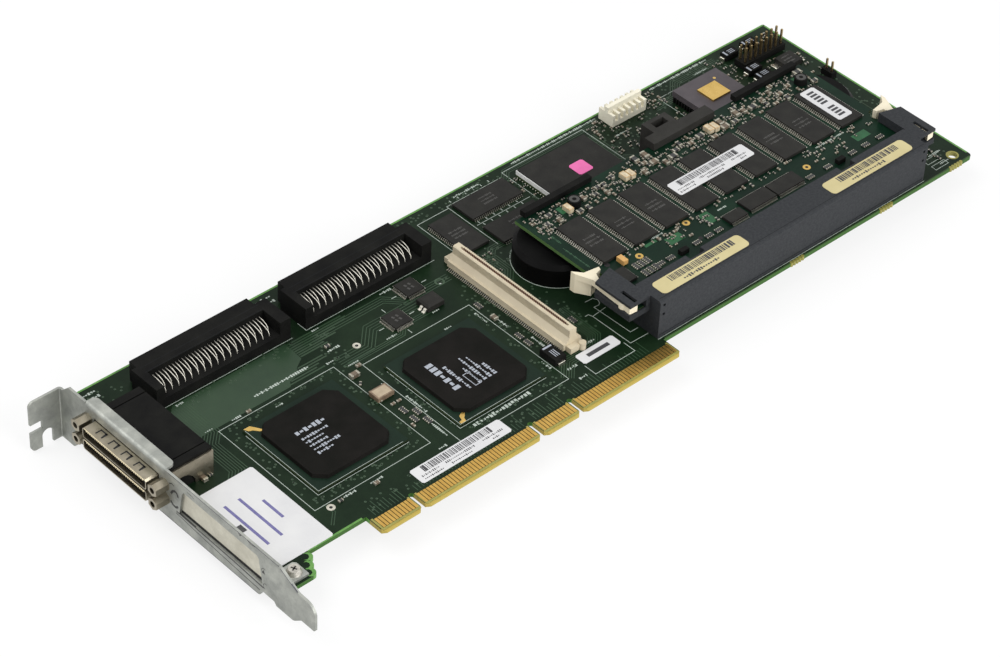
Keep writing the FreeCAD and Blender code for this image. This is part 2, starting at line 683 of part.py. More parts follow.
def external_shells():
    """Two thin metal shells; the upper one has spring tongues cut in its top."""
    x0 = BRACKET_FACE_X - EXT_PROUD
    x1 = BRACKET_FACE_X + SHEET_T + EXT_GAP
    shells = []
    for z in (EXT_LOWER_Z, EXT_UPPER_Z):
        outer = plate_yz(shell_outline(z, 0), x0, x1)
        inner = plate_yz(shell_outline(z, EXT_SHELL_WALL), x0 - 1, x1 + 1)
        shells.append(outer.cut(inner))
    top = EXT_UPPER_Z + EXT_SHELL_H / 2
    spring_x0 = x0 + SPRING_INSET
    spring_x1 = spring_x0 + SPRING_LEN
    for i in range(SPRING_COUNT):
        y = EXT_Y + (i - (SPRING_COUNT - 1) / 2) * SPRING_PITCH
        for side in (-1, 1):
            leg = y + side * SPRING_W / 2
            shells[1] = shells[1].cut(box(spring_x0, spring_x1, leg - SPRING_CUT / 2, leg + SPRING_CUT / 2,
                                          top - 2 * EXT_SHELL_WALL, top + 1))
        shells[1] = shells[1].cut(box(spring_x1 - SPRING_CUT, spring_x1, y - SPRING_W / 2, y + SPRING_W / 2,
                                      top - 2 * EXT_SHELL_WALL, top + 1))
    return shells


def external_inserts():
    """Plastic tongue on a back wall inside each shell."""
    wall_x1 = BRACKET_FACE_X + SHEET_T + EXT_GAP
    wall_x0 = wall_x1 - EXT_INSERT_T
    tip_x = BRACKET_FACE_X - EXT_PROUD + EXT_TONGUE_SHORT
    inserts = []
    for z in (EXT_LOWER_Z, EXT_UPPER_Z):
        back = plate_yz(shell_outline(z, EXT_SHELL_WALL + EXT_INSERT_FIT), wall_x0, wall_x1)
        tongue = box(tip_x, wall_x0, EXT_Y - EXT_TONGUE_LEN / 2, EXT_Y + EXT_TONGUE_LEN / 2,
                     z - EXT_TONGUE_T / 2, z + EXT_TONGUE_T / 2)
        inserts.append(back.fuse(tongue))
    return inserts


def jack_posts():
    """Four hexagonal posts with threaded bores, standing on the bracket face."""
    posts = []
    radius = POST_FLATS / math.sqrt(3)
    for side in (-1, 1):
        for z in (POST_LOWER_Z, POST_UPPER_Z):
            y = EXT_Y + side * POST_SPACING_Y / 2
            corners = []
            for i in range(6):
                turn = math.radians(60 * i + 30)
                corners.append((y + radius * math.cos(turn), z + radius * math.sin(turn)))
            post = plate_yz(corners, BRACKET_FACE_X - POST_LEN, BRACKET_FACE_X)
            bore = Part.makeCylinder(POST_BORE_R, POST_BORE_DEPTH + 1,
                                     V(BRACKET_FACE_X - POST_LEN - 1, y, z), V(1, 0, 0))
            posts.append(post.cut(bore))
    return posts


# ------------------------------------------------------- internal connectors
def internal_housing(x0):
    """Open well for the contact tails at the back, mating recess with a tongue at the front."""
    x1 = x0 + INT_LEN
    body = box(x0, x1, INT_Y0, INT_Y1, 0, INT_H)
    front = box(x0 + INT_FRONT_INSET_LEFT, x1 - INT_FRONT_INSET_RIGHT,
                INT_Y1 - 1, INT_FRONT_Y1, INT_FRONT_Z0, INT_H)
    well = box(x0 + INT_WELL_INSET_LEFT, x1 - INT_WELL_INSET_RIGHT,
               INT_Y0 - 1, INT_WELL_Y1, INT_WELL_Z, INT_H + 1)
    body = body.fuse(front).cut(well)
    mate_x0 = x0 + INT_FRONT_INSET_LEFT + INT_MATE_INSET
    mate_x1 = x1 - INT_FRONT_INSET_RIGHT - INT_MATE_INSET
    mid_z = INT_H / 2
    mate = plate_xz([
        (mate_x0 + INT_MATE_SLOPE, mid_z - INT_MATE_H / 2),
        (mate_x1 - INT_MATE_SLOPE, mid_z - INT_MATE_H / 2),
        (mate_x1, mid_z + INT_MATE_H / 2),
        (mate_x0, mid_z + INT_MATE_H / 2),
    ], INT_FRONT_Y1 - INT_MATE_DEPTH, INT_FRONT_Y1 + 1)
    tongue = box(mate_x0 + INT_TONGUE_INSET, mate_x1 - INT_TONGUE_INSET,
                 INT_FRONT_Y1 - INT_MATE_DEPTH - 0.2, INT_FRONT_Y1 - INT_TONGUE_SHORT,
                 mid_z - INT_TONGUE_T / 2, mid_z + INT_TONGUE_T / 2)
    return body.cut(mate).fuse(tongue).removeSplitter()


def contact_tail(x):
    """Flat contact slanting down from the well's front wall to its floor."""
    return plate_yz([
        (INT_WELL_Y1, TAIL_Z),
        (TAIL_END_Y, INT_WELL_Z),
        (TAIL_END_Y + TAIL_T, INT_WELL_Z),
        (INT_WELL_Y1, TAIL_Z - TAIL_T),
    ], x - TAIL_W / 2, x + TAIL_W / 2)


def internal_tails(x0):
    span = INT_LEN - INT_WELL_INSET_LEFT - INT_WELL_INSET_RIGHT
    first = x0 + INT_WELL_INSET_LEFT + (span - TAIL_PITCH * (TAIL_COUNT - 1)) / 2
    tails = []
    for i in range(TAIL_COUNT):
        x = first + TAIL_PITCH * i
        tails.append(contact_tail(x))
    return tails


# --------------------------------------------------------------------- chips
def square_outline(at, size, corner):
    half = size / 2
    return cut_corners(at[0] - half, at[0] + half, at[1] - half, at[1] + half, corner)


def moulded_cap(at, z0):
    """Eight-sided moulding with drafted flanks."""
    wires = []
    for size, z in ((BGA_CAP_SIZE, z0), (BGA_CAP_SIZE - BGA_CAP_DRAFT, z0 + BGA_CAP_H)):
        wire = rounded_wire(square_outline(at, size, BGA_CAP_CORNER))
        wire.translate(V(0, 0, z))
        wires.append(wire)
    return Part.makeLoft(wires, True, True)


def tsop(at, length, upright, z0):
    """Thin flat chip body, lying along X or standing along Y."""
    across = TSOP_WID
    size = (across, length) if upright else (length, across)
    return block(at, size[0], size[1], z0, z0 + TSOP_H)


def internal_power_block():
    body = block(POWER_BLOCK_AT, POWER_BLOCK_LEN, POWER_BLOCK_WID, LOW_SEAT, POWER_BLOCK_H)
    upper = [edge for edge in body.Edges if min(v.Z for v in edge.Vertexes) > POWER_BLOCK_H - 0.01]
    return body.makeChamfer(POWER_BLOCK_EDGE, upper)


# ------------------------------------------------------- mezzanine connector
def mezzanine():
    """Stepped plug body with a long ridge, a contact slot and locating ears."""
    half = MEZZ_BASE_W / 2
    step = MEZZ_STEP_W / 2
    ridge = MEZZ_RIDGE_W / 2
    profile = [
        (MEZZ_X - half, SEAT),
        (MEZZ_X + half, SEAT),
        (MEZZ_X + half, MEZZ_BASE_H),
        (MEZZ_X + step, MEZZ_BASE_H),
        (MEZZ_X + ridge, MEZZ_STEP_H),
        (MEZZ_X + ridge, MEZZ_RIDGE_H - MEZZ_RIDGE_EDGE),
        (MEZZ_X + ridge - MEZZ_RIDGE_EDGE, MEZZ_RIDGE_H),
        (MEZZ_X - ridge + MEZZ_RIDGE_EDGE, MEZZ_RIDGE_H),
        (MEZZ_X - ridge, MEZZ_RIDGE_H - MEZZ_RIDGE_EDGE),
        (MEZZ_X - ridge, MEZZ_STEP_H),
        (MEZZ_X - step, MEZZ_BASE_H),
        (MEZZ_X - half, MEZZ_BASE_H),
    ]
    body = plate_xz(profile, MEZZ_Y0, MEZZ_Y1)
    for y0, y1 in ((MEZZ_Y0 - MEZZ_EAR, MEZZ_Y0 + 1), (MEZZ_Y1 - 1, MEZZ_Y1 + MEZZ_EAR)):
        body = body.fuse(box(MEZZ_X - half + MEZZ_EAR_INSET, MEZZ_X + half - MEZZ_EAR_INSET,
                             y0, y1, 0, MEZZ_BASE_H - MEZZ_EAR_DROP))
    post_y = MEZZ_Y0 - MEZZ_EAR
    body = body.fuse(rod((MEZZ_X + half - MEZZ_POST_INSET, post_y), MEZZ_POST_R, 0, MEZZ_BASE_H))
    slot = box(MEZZ_X - MEZZ_SLOT_W / 2, MEZZ_X + MEZZ_SLOT_W / 2,
               MEZZ_Y0 + MEZZ_SLOT_MARGIN, MEZZ_Y1 - MEZZ_SLOT_MARGIN,
               MEZZ_RIDGE_H - MEZZ_SLOT_DEPTH, MEZZ_RIDGE_H + 1)
    return body.cut(slot).removeSplitter()


# --------------------------------------------------------- headers at far end
def wire_header():
    """Ivory wire header: a wall on a base with a row of fins on both sides."""
    base = box(WIRE_HEADER_X0, WIRE_HEADER_X1, WIRE_HEADER_Y0, WIRE_HEADER_Y1, 0, WIRE_HEADER_BASE_H)
    wall_y0 = (WIRE_HEADER_Y0 + WIRE_HEADER_Y1 - WIRE_HEADER_WALL_T) / 2
    wall = box(WIRE_HEADER_X0, WIRE_HEADER_X1, wall_y0, wall_y0 + WIRE_HEADER_WALL_T, 1, WIRE_HEADER_H)
    parts = [wall]
    pitch = (WIRE_HEADER_X1 - WIRE_HEADER_X0 - WIRE_FIN_W) / (WIRE_FIN_COUNT - 1)
    for i in range(WIRE_FIN_COUNT):
        x = WIRE_HEADER_X0 + pitch * i
        for y0, y1 in ((WIRE_HEADER_Y0, wall_y0 + 0.2), (wall_y0 + WIRE_HEADER_WALL_T - 0.2, WIRE_HEADER_Y1)):
            parts.append(box(x, x + WIRE_FIN_W, y0, y1, 1, WIRE_FIN_H))
    return base.fuse(parts).removeSplitter()


def pin_header_base():
    margin = PIN_PITCH / 2
    return box(PIN_HEADER_X0 - margin, PIN_HEADER_X0 + PIN_PITCH * (PIN_COLUMNS - 1) + margin,
               PIN_HEADER_Y0 - margin, PIN_HEADER_Y0 + PIN_PITCH + margin, 0, PIN_BASE_H)


def square_pin(x, y, top):
    """Pin above its base and its soldered tail under the board."""
    return [block((x, y), PIN_W, PIN_W, PIN_BASE_H, top),
            block((x, y), PIN_W, PIN_W, -BOARD_T - PIN_TAIL, -BOARD_T)]


def header_pins():
    pins = []
    for column in range(PIN_COLUMNS):
        for row in range(2):
            pins += square_pin(PIN_HEADER_X0 + PIN_PITCH * column, PIN_HEADER_Y0 + PIN_PITCH * row, PIN_TOP_Z)
    return pins


def jumper_pins():
    x, y = JUMPER_AT
    return square_pin(x, y, JUMPER_TOP_Z) + square_pin(x, y + PIN_PITCH, JUMPER_TOP_Z)


def jumper_base():
    x, y = JUMPER_AT
    margin = PIN_PITCH / 2
    return box(x - margin, x + margin, y - margin, y + PIN_PITCH + margin, 0, PIN_BASE_H)


# ------------------------------------------------------------- memory socket
def socket_arm():
    """Left arm: carries the lever pocket, its pivot pin and a top slot."""
    arm = plate([
        (ARM_OUT_X, ARM_Y0),
        (SOCKET_LEFT_X + 1, ARM_Y0),
        (SOCKET_LEFT_X + 1, SOCKET_Y1 - 0.5),
        (ARM_IN_X, SOCKET_Y1 - 0.5),
        (ARM_IN_X, ARM_END_IN_Y),
        (ARM_OUT_X, ARM_END_OUT_Y),
    ], ARM_Z0, SOCKET_H)
    pocket = plate([
        (ARM_OUT_X - 1, ARM_Y0 - 1),
        (POCKET_HEEL_X, ARM_Y0 - 1),
        (POCKET_HEEL_X, POCKET_HEEL_Y),
        (POCKET_X, POCKET_HEEL_Y + 2),
        (POCKET_X, ARM_END_IN_Y + 1),
        (ARM_OUT_X - 1, ARM_END_IN_Y + 1),
    ], POCKET_Z0, POCKET_Z1)
    arm = arm.cut(pocket)
    slot = box(ARM_SLOT_X - ARM_SLOT_W / 2, ARM_SLOT_X + ARM_SLOT_W / 2,
               ARM_SLOT_Y0, ARM_SLOT_Y0 + ARM_SLOT_LEN, POCKET_Z1 - 1, SOCKET_H + 1)
    arm = arm.cut(slot)
    side_room = box(MODULE_X0 - MODULE_ROOM, ARM_IN_X + 1, SOCKET_Y1 - 0.4, ARM_END_IN_Y + 1,
                    MODULE_Z0 - MODULE_ROOM, MODULE_TOP + MODULE_ROOM)
    pin = rod(LATCH_PIVOT, LATCH_PIN_R, POCKET_Z0 - 0.5, POCKET_Z1 + 0.2)
    return arm.cut(side_room).fuse(pin)


def memory_socket():
    body = plate_yz([
        (SOCKET_Y0, 0),
        (SOCKET_Y1, 0),
        (SOCKET_Y1, SOCKET_H),
        (SOCKET_Y0 + SOCKET_EDGE, SOCKET_H),
        (SOCKET_Y0, SOCKET_H - SOCKET_EDGE),
    ], SOCKET_LEFT_X, SOCKET_RIGHT_X)
    slot = box(MODULE_X0 - SOCKET_SLOT_END_CLEAR, MODULE_X1 + SOCKET_SLOT_END_CLEAR,
               SOCKET_SLOT_Y0, SOCKET_Y1 + 1,
               MODULE_Z0 - SOCKET_SLOT_CLEAR, MODULE_TOP + SOCKET_SLOT_CLEAR)
    left = socket_arm()
    body = body.fuse([left, mirrored(left)])
    body = body.cut(slot)
    for x in SOCKET_NOTCH_XS:
        body = body.cut(box(x - SOCKET_NOTCH_W / 2, x + SOCKET_NOTCH_W / 2,
                            SOCKET_Y1 - SOCKET_NOTCH_D, SOCKET_Y1 + 1, MODULE_TOP, SOCKET_H + 1))
    for x in (SOCKET_LEFT_X + SOCKET_PIT_INSET, SOCKET_RIGHT_X - SOCKET_PIT_INSET - SOCKET_PIT):
        for z in SOCKET_PIT_ZS:
            body = body.cut(box(x, x + SOCKET_PIT, SOCKET_Y0 - 1, SOCKET_Y0 + SOCKET_PIT, z, z + SOCKET_PIT))
    return body.removeSplitter()


def from_pivot(points):
    """Outline given from the lever's pivot."""
    x, y = LATCH_PIVOT
    return [(x + dx, y + dy) for dx, dy in points]


def left_latch():
    """Lever on the arm pin: long bar, ejector toe, raised finger head, module hook."""
    bar = plate(from_pivot([
        (-1.25, -3.9),
        (1.85, -4.2),
        (1.55, -2.9),
        (0.75, -2.2),
        (0.85, 11.4),
        (2.55, 15.0),
        (-0.15, 17.8),
        (-2.7, 20.9),
        (-2.65, 19.2),
        (-0.25, 13.6),
        (-0.75, 1.4),
    ]), LATCH_Z0, LATCH_Z1)
    eye = rod(LATCH_PIVOT, LATCH_EYE_R, LATCH_Z0, LATCH_Z1)
    head = plate(from_pivot([
        (0.15, 14.6),
        (2.85, 15.3),
        (-0.05, 18.1),
        (-2.7, 21.2),
        (-2.75, 19.3),
    ]), LATCH_HEAD_Z0, LATCH_Z1)
    hook = plate(from_pivot([
        (0.05, 16.0),
        (2.15, 15.2),
        (5.15, 15.9),
        (5.65, 17.2),
        (-0.05, 18.1),
    ]), LATCH_HOOK_Z0, LATCH_Z1)
    lever = bar.fuse([eye, head, hook])
    hole = rod(LATCH_PIVOT, LATCH_PIN_R + LATCH_FIT, LATCH_Z0 - 1, LATCH_Z1 + 1)
    return lever.cut(hole).removeSplitter()


# ------------------------------------------------------------- cache module
def module_board():
    board = plate(rectangle(MODULE_X0, MODULE_X1, MODULE_Y0, MODULE_Y1), MODULE_Z0, MODULE_TOP)
    for x in (MODULE_X0, MODULE_X1):
        board = board.cut(rod((x, MODULE_NOTCH_Y), MODULE_NOTCH_R, MODULE_Z0 - 1, MODULE_TOP + 1))
    return board


def module_memory():
    base = MODULE_TOP + TSOP_SEAT
    return [tsop((MODULE_CHIP_X0 + MODULE_CHIP_PITCH * i, MODULE_CHIP_Y), TSOP_LEN, True, base)
            for i in range(MODULE_CHIP_COUNT)]


def module_logic():
    base = MODULE_TOP + TSOP_SEAT
    top = base + LOGIC_H
    chips = [block(at, BUFFER_LEN, BUFFER_WID, base, top) for at in BUFFER_ATS]
    chips.append(block(SMALL_LOGIC_AT, SMALL_LOGIC_LEN, SMALL_LOGIC_WID, base, top))
    chips.append(block(CLOCK_CHIP_AT, SMALL_LOGIC_WID, CLOCK_CHIP_LEN, base, top))
    return chips


def module_inductors():
    """Small drum coils, drawn with sixteen flats."""
    drums = []
    for x, y in MODULE_INDUCTORS:
        turns = [2 * math.pi * i / MODULE_INDUCTOR_FLATS for i in range(MODULE_INDUCTOR_FLATS)]
        outline = [(x + MODULE_INDUCTOR_R * math.cos(turn), y + MODULE_INDUCTOR_R * math.sin(turn))
                   for turn in turns]
        drums.append(plate(outline, MODULE_TOP, MODULE_TOP + MODULE_INDUCTOR_H))
    return drums


# -------------------------------------------------- battery packs and clips
def left_battery():
    """Disc with a drawn-in upper rim, turned from its half section."""
    radius = BATTERY_R
    section = [
        (0, 0), (radius, 0), (radius, BATTERY_H - BATTERY_EDGE),
        (radius - BATTERY_EDGE, BATTERY_H), (0, BATTERY_H),
    ]
    edges = [V(r, 0, z) for r, z in section + section[:1]]
    pack = Part.Face(Part.makePolygon(edges)).revolve(V(0, 0, 0), V(0, 0, 1), 360)
    pack.translate(V(BATTERY_LEFT[0], BATTERY_LEFT[1], 0))
    return pack


def left_clip():
    """C-shaped clip over the module edge, its foot reaching the battery pack."""
    lip = box(CLIP_X0, CLIP_X1, CLIP_LIP_Y0, CLIP_WALL_Y1, MODULE_TOP + CLIP_GAP, CLIP_TOP_Z)
    wall = box(CLIP_ARM_X0, CLIP_ARM_X1, CLIP_WALL_Y0, CLIP_WALL_Y1, CLIP_ARM_Z0, CLIP_TOP_Z)
    foot = box(CLIP_ARM_X0, CLIP_ARM_X1, BATTERY_LEFT[1] + BATTERY_R * 0.6, CLIP_WALL_Y1,
               CLIP_ARM_Z0, BATTERY_H - BATTERY_EDGE)
    arm = wall.fuse(foot).cut(rod(BATTERY_LEFT, BATTERY_R + BATTERY_FIT, 0, BATTERY_H))
    return lip.fuse(arm).removeSplitter()


def module_support():
    """Post behind the module with a square well and a bar over the module edge."""
    post = box(SUPPORT_X0, SUPPORT_X1, CLIP_WALL_Y0, SUPPORT_Y1, 0, SUPPORT_TOP_Z)
    bar = box(SUPPORT_BAR_X0, SUPPORT_BAR_X1, SUPPORT_BAR_Y0, SUPPORT_BAR_Y1,
              MODULE_TOP + CLIP_GAP, SUPPORT_TOP_Z)
    well = box(SUPPORT_HOLE_X0, SUPPORT_HOLE_X1, SUPPORT_HOLE_Y0, SUPPORT_HOLE_Y1,
               SUPPORT_TOP_Z - SUPPORT_HOLE_DEPTH, SUPPORT_TOP_Z + 1)
    return post.fuse(bar).cut(well).removeSplitter()


# -------------------------------------------------------------------- labels
def label(area, z):
    return plate(cut_corners(area[0], area[1], area[2], area[3], LABEL_CORNER), z, z + PAPER_T)


def card_nodes():
    bga_top = SEAT + BGA_BASE_T
    raid_top = SEAT + RAID_CHIP_BASE_T
    spreader_top = raid_top + RAID_SPREADER_T
    cpu_base = CPU_SOCKET_T
    cpu_top = cpu_base + CPU_BODY_T
    chip_top = MODULE_TOP + TSOP_SEAT + TSOP_H
    under = -BOARD_T
    battery = left_battery()
    clip = left_clip()
    latch = left_latch()
    nodes = {
        "main_board": [main_board()],
        "edge_contacts_component_side": contact_pads(0, PAD_T),
        "edge_contacts_solder_side": contact_pads(under - PAD_T, under),
        "slot_bracket": [bracket()],
        "slot_cover_plate": [slot_cover()],
        "bracket_screw": [bracket_screw()],
        "external_connector_housing": [external_housing()],
        "external_connector_shield": [external_shield()],
        "external_connector_shells": external_shells(),
        "external_connector_inserts": external_inserts(),
        "jack_posts": jack_posts(),
        "internal_connector_a": [internal_housing(INT_LEFT_XS[0])],
        "internal_connector_b": [internal_housing(INT_LEFT_XS[1])],
        "internal_connector_a_contacts": internal_tails(INT_LEFT_XS[0]),
        "internal_connector_b_contacts": internal_tails(INT_LEFT_XS[1]),
        "channel_chip_base": [block(SCSI_CHIP_AT, BGA_SIZE, BGA_SIZE, SEAT, bga_top)],
        "channel_chip_cap": [moulded_cap(SCSI_CHIP_AT, bga_top)],
        "bridge_chip_base": [block(BRIDGE_CHIP_AT, BGA_SIZE, BGA_SIZE, SEAT, bga_top)],
        "bridge_chip_cap": [moulded_cap(BRIDGE_CHIP_AT, bga_top)],
        "array_chip_base": [block(RAID_CHIP_AT, RAID_CHIP_SIZE, RAID_CHIP_SIZE, SEAT, raid_top)],
        "array_chip_spreader": [block(RAID_CHIP_AT, RAID_CHIP_SIZE, RAID_CHIP_SIZE, raid_top, spreader_top)],
        "array_chip_top": [block(RAID_CHIP_AT, RAID_CHIP_SIZE - RAID_TOP_EDGE, RAID_CHIP_SIZE - RAID_TOP_EDGE,
                                 spreader_top, spreader_top + RAID_TOP_T)],
        "processor_seat": [block(CPU_AT, CPU_LEN - 2 * CPU_SEAT_INSET, CPU_WID - 2 * CPU_SEAT_INSET,
                                 LOW_SEAT, cpu_base)],
        "processor_body": [block(CPU_AT, CPU_LEN, CPU_WID, cpu_base, cpu_top)],
        "processor_lid": [block(CPU_AT, CPU_LID_LEN, CPU_LID_WID, cpu_top, cpu_top + CPU_LID_T)],
        "crystal_can": [block(CRYSTAL_AT, CRYSTAL_LEN, CRYSTAL_WID, 0, CRYSTAL_H)],
        "flat_pack_chips": [block(at, FLAT_PACK_SIZE, FLAT_PACK_SIZE, TSOP_SEAT, FLAT_PACK_H)
                            for at in FLAT_PACK_ATS],
        "board_memory_chips": [tsop(at, TSOP_LEN, False, TSOP_SEAT) for at in BOARD_TSOP_ATS]
                              + [tsop(UPRIGHT_TSOP_AT, UPRIGHT_TSOP_LEN, True, TSOP_SEAT)],
        "power_transistor": [internal_power_block()],
        "large_capacitor": [block(BIG_TANTALUM_AT, BIG_TANTALUM_WID, BIG_TANTALUM_LEN,
                                  LOW_SEAT, BIG_TANTALUM_H)],
        "capacitors": [block(at, TANTALUM_LEN, TANTALUM_WID, LOW_SEAT, TANTALUM_H) for at in TANTALUM_ATS],
        "voltage_regulator": [block(REGULATOR_AT, REGULATOR_LEN, REGULATOR_WID, LOW_SEAT, REGULATOR_H)],
        "mezzanine_connector": [mezzanine()],
        "wire_header": [wire_header()],
        "pin_header_base": [pin_header_base()],
        "pin_header_pins": header_pins(),
        "jumper_base": [jumper_base()],
        "jumper_pins": jumper_pins(),
        "memory_socket": [memory_socket()],
        "left_latch": [latch],
        "right_latch": [mirrored(latch)],
        "module_board": [module_board()],
        "module_memory_chips": module_memory(),
        "module_logic_chips": module_logic(),
        "module_inductors": module_inductors(),
        "module_capacitors": [block(at, BLOCK_CAP_WID, BLOCK_CAP_LEN, MODULE_TOP, MODULE_TOP + BLOCK_CAP_H)
                              for at in BLOCK_CAPS],
        "battery_pack_left": [battery],
        "battery_pack_right": [mirrored(battery)],
        "module_clip_left": [clip],
        "module_clip_right": [mirrored(clip)],
        "module_support": [module_support()],
        "slot_label": [label(SLOT_LABEL, 0)],
        "barcode_label": [label(BAR_LABEL, 0)],
        "small_label": [label(SMALL_LABEL, 0)],
        "module_barcode_label": [label(MODULE_LABEL, chip_top)],
        "chip_label": [label(CHIP_LABEL, chip_top)],
        "socket_labels": [label(area, SOCKET_H) for area in SOCKET_LABELS],
        "array_chip_label": [label(PINK_LABEL, spreader_top + RAID_TOP_T)],
    }
    return nodes


def main():
    os.makedirs("parts", exist_ok=True)
    nodes = card_nodes()
    whole = FreeCAD.BoundBox()
    for solids in nodes.values():
        for solid in solids:
            whole.add(solid.BoundBox)
    shift = V(-(whole.XMin + whole.XMax) / 2, -(whole.YMin + whole.YMax) / 2, -whole.ZMin)
    for name, solids in nodes.items():
        shape = solids[0] if len(solids) == 1 else Part.makeCompound(solids)
        shape.translate(shift)
        shape.exportStep(os.path.join("parts", name + ".step"))
    print("nodes", len(nodes), "shift", shift, "size", whole.XLength, whole.YLength, whole.ZLength)


main()
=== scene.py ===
"""Looks of the storage controller card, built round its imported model.

Lengths are millimetres from the card's datum: X 0 at the first key of the edge
connector, Y 0 at its lower edge, Z 0 on the component face.  piece() turns them
into metres of the frame.
"""
import math
import random
from collections import namedtuple

import bmesh
import bpy
from mathutils import Matrix, Vector


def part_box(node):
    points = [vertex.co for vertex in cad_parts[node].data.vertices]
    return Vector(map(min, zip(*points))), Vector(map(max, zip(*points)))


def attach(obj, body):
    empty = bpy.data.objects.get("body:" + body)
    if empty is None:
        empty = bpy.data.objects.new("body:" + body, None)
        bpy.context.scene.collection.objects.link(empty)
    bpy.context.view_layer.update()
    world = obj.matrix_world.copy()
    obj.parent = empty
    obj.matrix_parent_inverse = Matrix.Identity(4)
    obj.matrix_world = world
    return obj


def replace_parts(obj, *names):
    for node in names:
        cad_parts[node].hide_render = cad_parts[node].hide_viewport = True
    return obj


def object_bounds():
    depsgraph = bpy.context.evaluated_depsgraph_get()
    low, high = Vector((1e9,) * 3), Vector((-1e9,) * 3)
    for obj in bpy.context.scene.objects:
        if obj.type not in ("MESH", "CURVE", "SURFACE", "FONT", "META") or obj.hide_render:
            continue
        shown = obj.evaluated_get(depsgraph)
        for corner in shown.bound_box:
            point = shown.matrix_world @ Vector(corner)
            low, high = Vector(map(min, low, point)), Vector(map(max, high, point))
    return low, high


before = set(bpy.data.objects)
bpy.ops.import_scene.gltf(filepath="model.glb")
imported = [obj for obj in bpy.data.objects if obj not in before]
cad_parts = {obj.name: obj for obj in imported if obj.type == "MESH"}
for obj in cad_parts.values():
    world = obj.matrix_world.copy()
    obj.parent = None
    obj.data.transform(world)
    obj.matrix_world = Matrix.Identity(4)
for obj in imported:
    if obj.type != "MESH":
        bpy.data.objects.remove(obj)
cad_low, cad_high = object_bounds()

MM = 0.001
BOARD_FAR_X = 254.93
BOARD_TOP_Y = 106.68
board_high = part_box("main_board")[1]
DATUM = Vector((board_high.x - BOARD_FAR_X * MM, board_high.y - BOARD_TOP_Y * MM, board_high.z))
dice = random.Random(11)


class Box(namedtuple("Box", "x0 x1 y0 y1 z0 z1")):
    """Limits of a solid, with its size in X and Y and its middle in plan."""

    @property
    def long(self):
        return self.x1 - self.x0

    @property
    def wide(self):
        return self.y1 - self.y0

    @property
    def middle(self):
        return (self.x0 + self.x1) / 2, (self.y0 + self.y1) / 2


def span(node):
    """Limits of a CAD node, in millimetres from the datum."""
    low, high = [(corner - DATUM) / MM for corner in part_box(node)]
    return Box(low.x, high.x, low.y, high.y, low.z, high.z)


def separate_solids(node):
    """Limits of each loose solid of a CAD node, in millimetres from the datum."""
    work = bmesh.new()
    work.from_mesh(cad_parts[node].data)
    bmesh.ops.remove_doubles(work, verts=work.verts, dist=1e-6)
    left = set(work.verts)
    boxes = []
    while left:
        group = [left.pop()]
        for vert in group:
            for edge in vert.link_edges:
                other = edge.other_vert(vert)
                if other in left:
                    left.remove(other)
                    group.append(other)
        places = [(v.co - DATUM) / MM for v in group]
        boxes.append(Box(*(f(p[axis] for p in places) for axis in range(3) for f in (min, max))))
    work.free()
    return sorted(boxes)


CORNERS = ((-1, -1), (1, -1), (1, 1), (-1, 1))


def spread(count, pitch):
    """Places at an even pitch about 0."""
    return [(i - (count - 1) / 2) * pitch for i in range(count)]


def rectangle(x0, x1, y0, y1):
    return [(x0, y0), (x1, y0), (x1, y1), (x0, y1)]


def turned(at, x, y, turn):
    """The place x and y away from at, on axes turned by an angle in degrees."""
    sine, cosine = math.sin(math.radians(turn)), math.cos(math.radians(turn))
    return at[0] + cosine * x - sine * y, at[1] + sine * x + cosine * y


def arc(at, radius, start, step, count):
    """Points round a centre, from the angle start by the angle step, in degrees."""
    return [turned(at, radius, 0.0, start + step * i) for i in range(count)]


# ------------------------------------------------------------------ materials
RELIEF_DEPTH = 0.00003
TONGUE_TOP_Y = 6.5
TONGUE_FROM_X = -20.0
TONGUE_EDGE = (0.40, 0.31, 0.075)
# share of the edge colour left on sides facing -Y: painted shade
SHADED_EDGE = 0.4
FLAT_NORMAL = 0.97
NOISE_LOW = 0.3
NOISE_HIGH = 0.7


def wire(tree, node, inputs):
    """Links or sets a node's inputs."""
    for key, value in inputs.items():
        if isinstance(value, bpy.types.NodeSocket):
            tree.links.new(value, node.inputs[key])
        else:
            node.inputs[key].default_value = value


def add(tree, kind, inputs, **settings):
    node = tree.nodes.new("ShaderNode" + kind)
    for key, value in settings.items():
        setattr(node, key, value)
    wire(tree, node, inputs)
    return node


def calculate(tree, operation, *values):
    return add(tree, "Math", dict(enumerate(values)), operation=operation).outputs["Value"]


def noise(tree, vector, scale, detail=3.0):
    inputs = {"Vector": vector, "Scale": scale, "Detail": detail, "Roughness": 0.55}
    return add(tree, "TexNoise", inputs).outputs["Fac"]


def remap(tree, value, low, high):
    inputs = {"Value": value, "From Min": NOISE_LOW, "From Max": NOISE_HIGH, "To Min": low, "To Max": high}
    return add(tree, "MapRange", inputs).outputs["Result"]


def two_tones(tree, factor, *colours):
    """The first colour where noise is low, the second where it is high."""
    node = add(tree, "ValToRGB", {"Fac": factor})
    for element, place, colour in zip(node.color_ramp.elements, (NOISE_LOW, NOISE_HIGH), colours):
        element.position = place
        element.color = (*colour, 1.0)
    return node.outputs["Color"]


def mix_colour(tree, factor, *colours):
    """The first colour where the factor is 0, the second where it is 1."""
    node = add(tree, "Mix", {"Factor": factor}, data_type="RGBA")
    sockets = [i for i, socket in enumerate(node.inputs) if socket.type == "RGBA"]
    for i, colour in zip(sockets, colours):
        wire(tree, node, {i: (*colour, 1.0) if isinstance(colour, tuple) else colour})
    return [socket for socket in node.outputs if socket.type == "RGBA"][0]


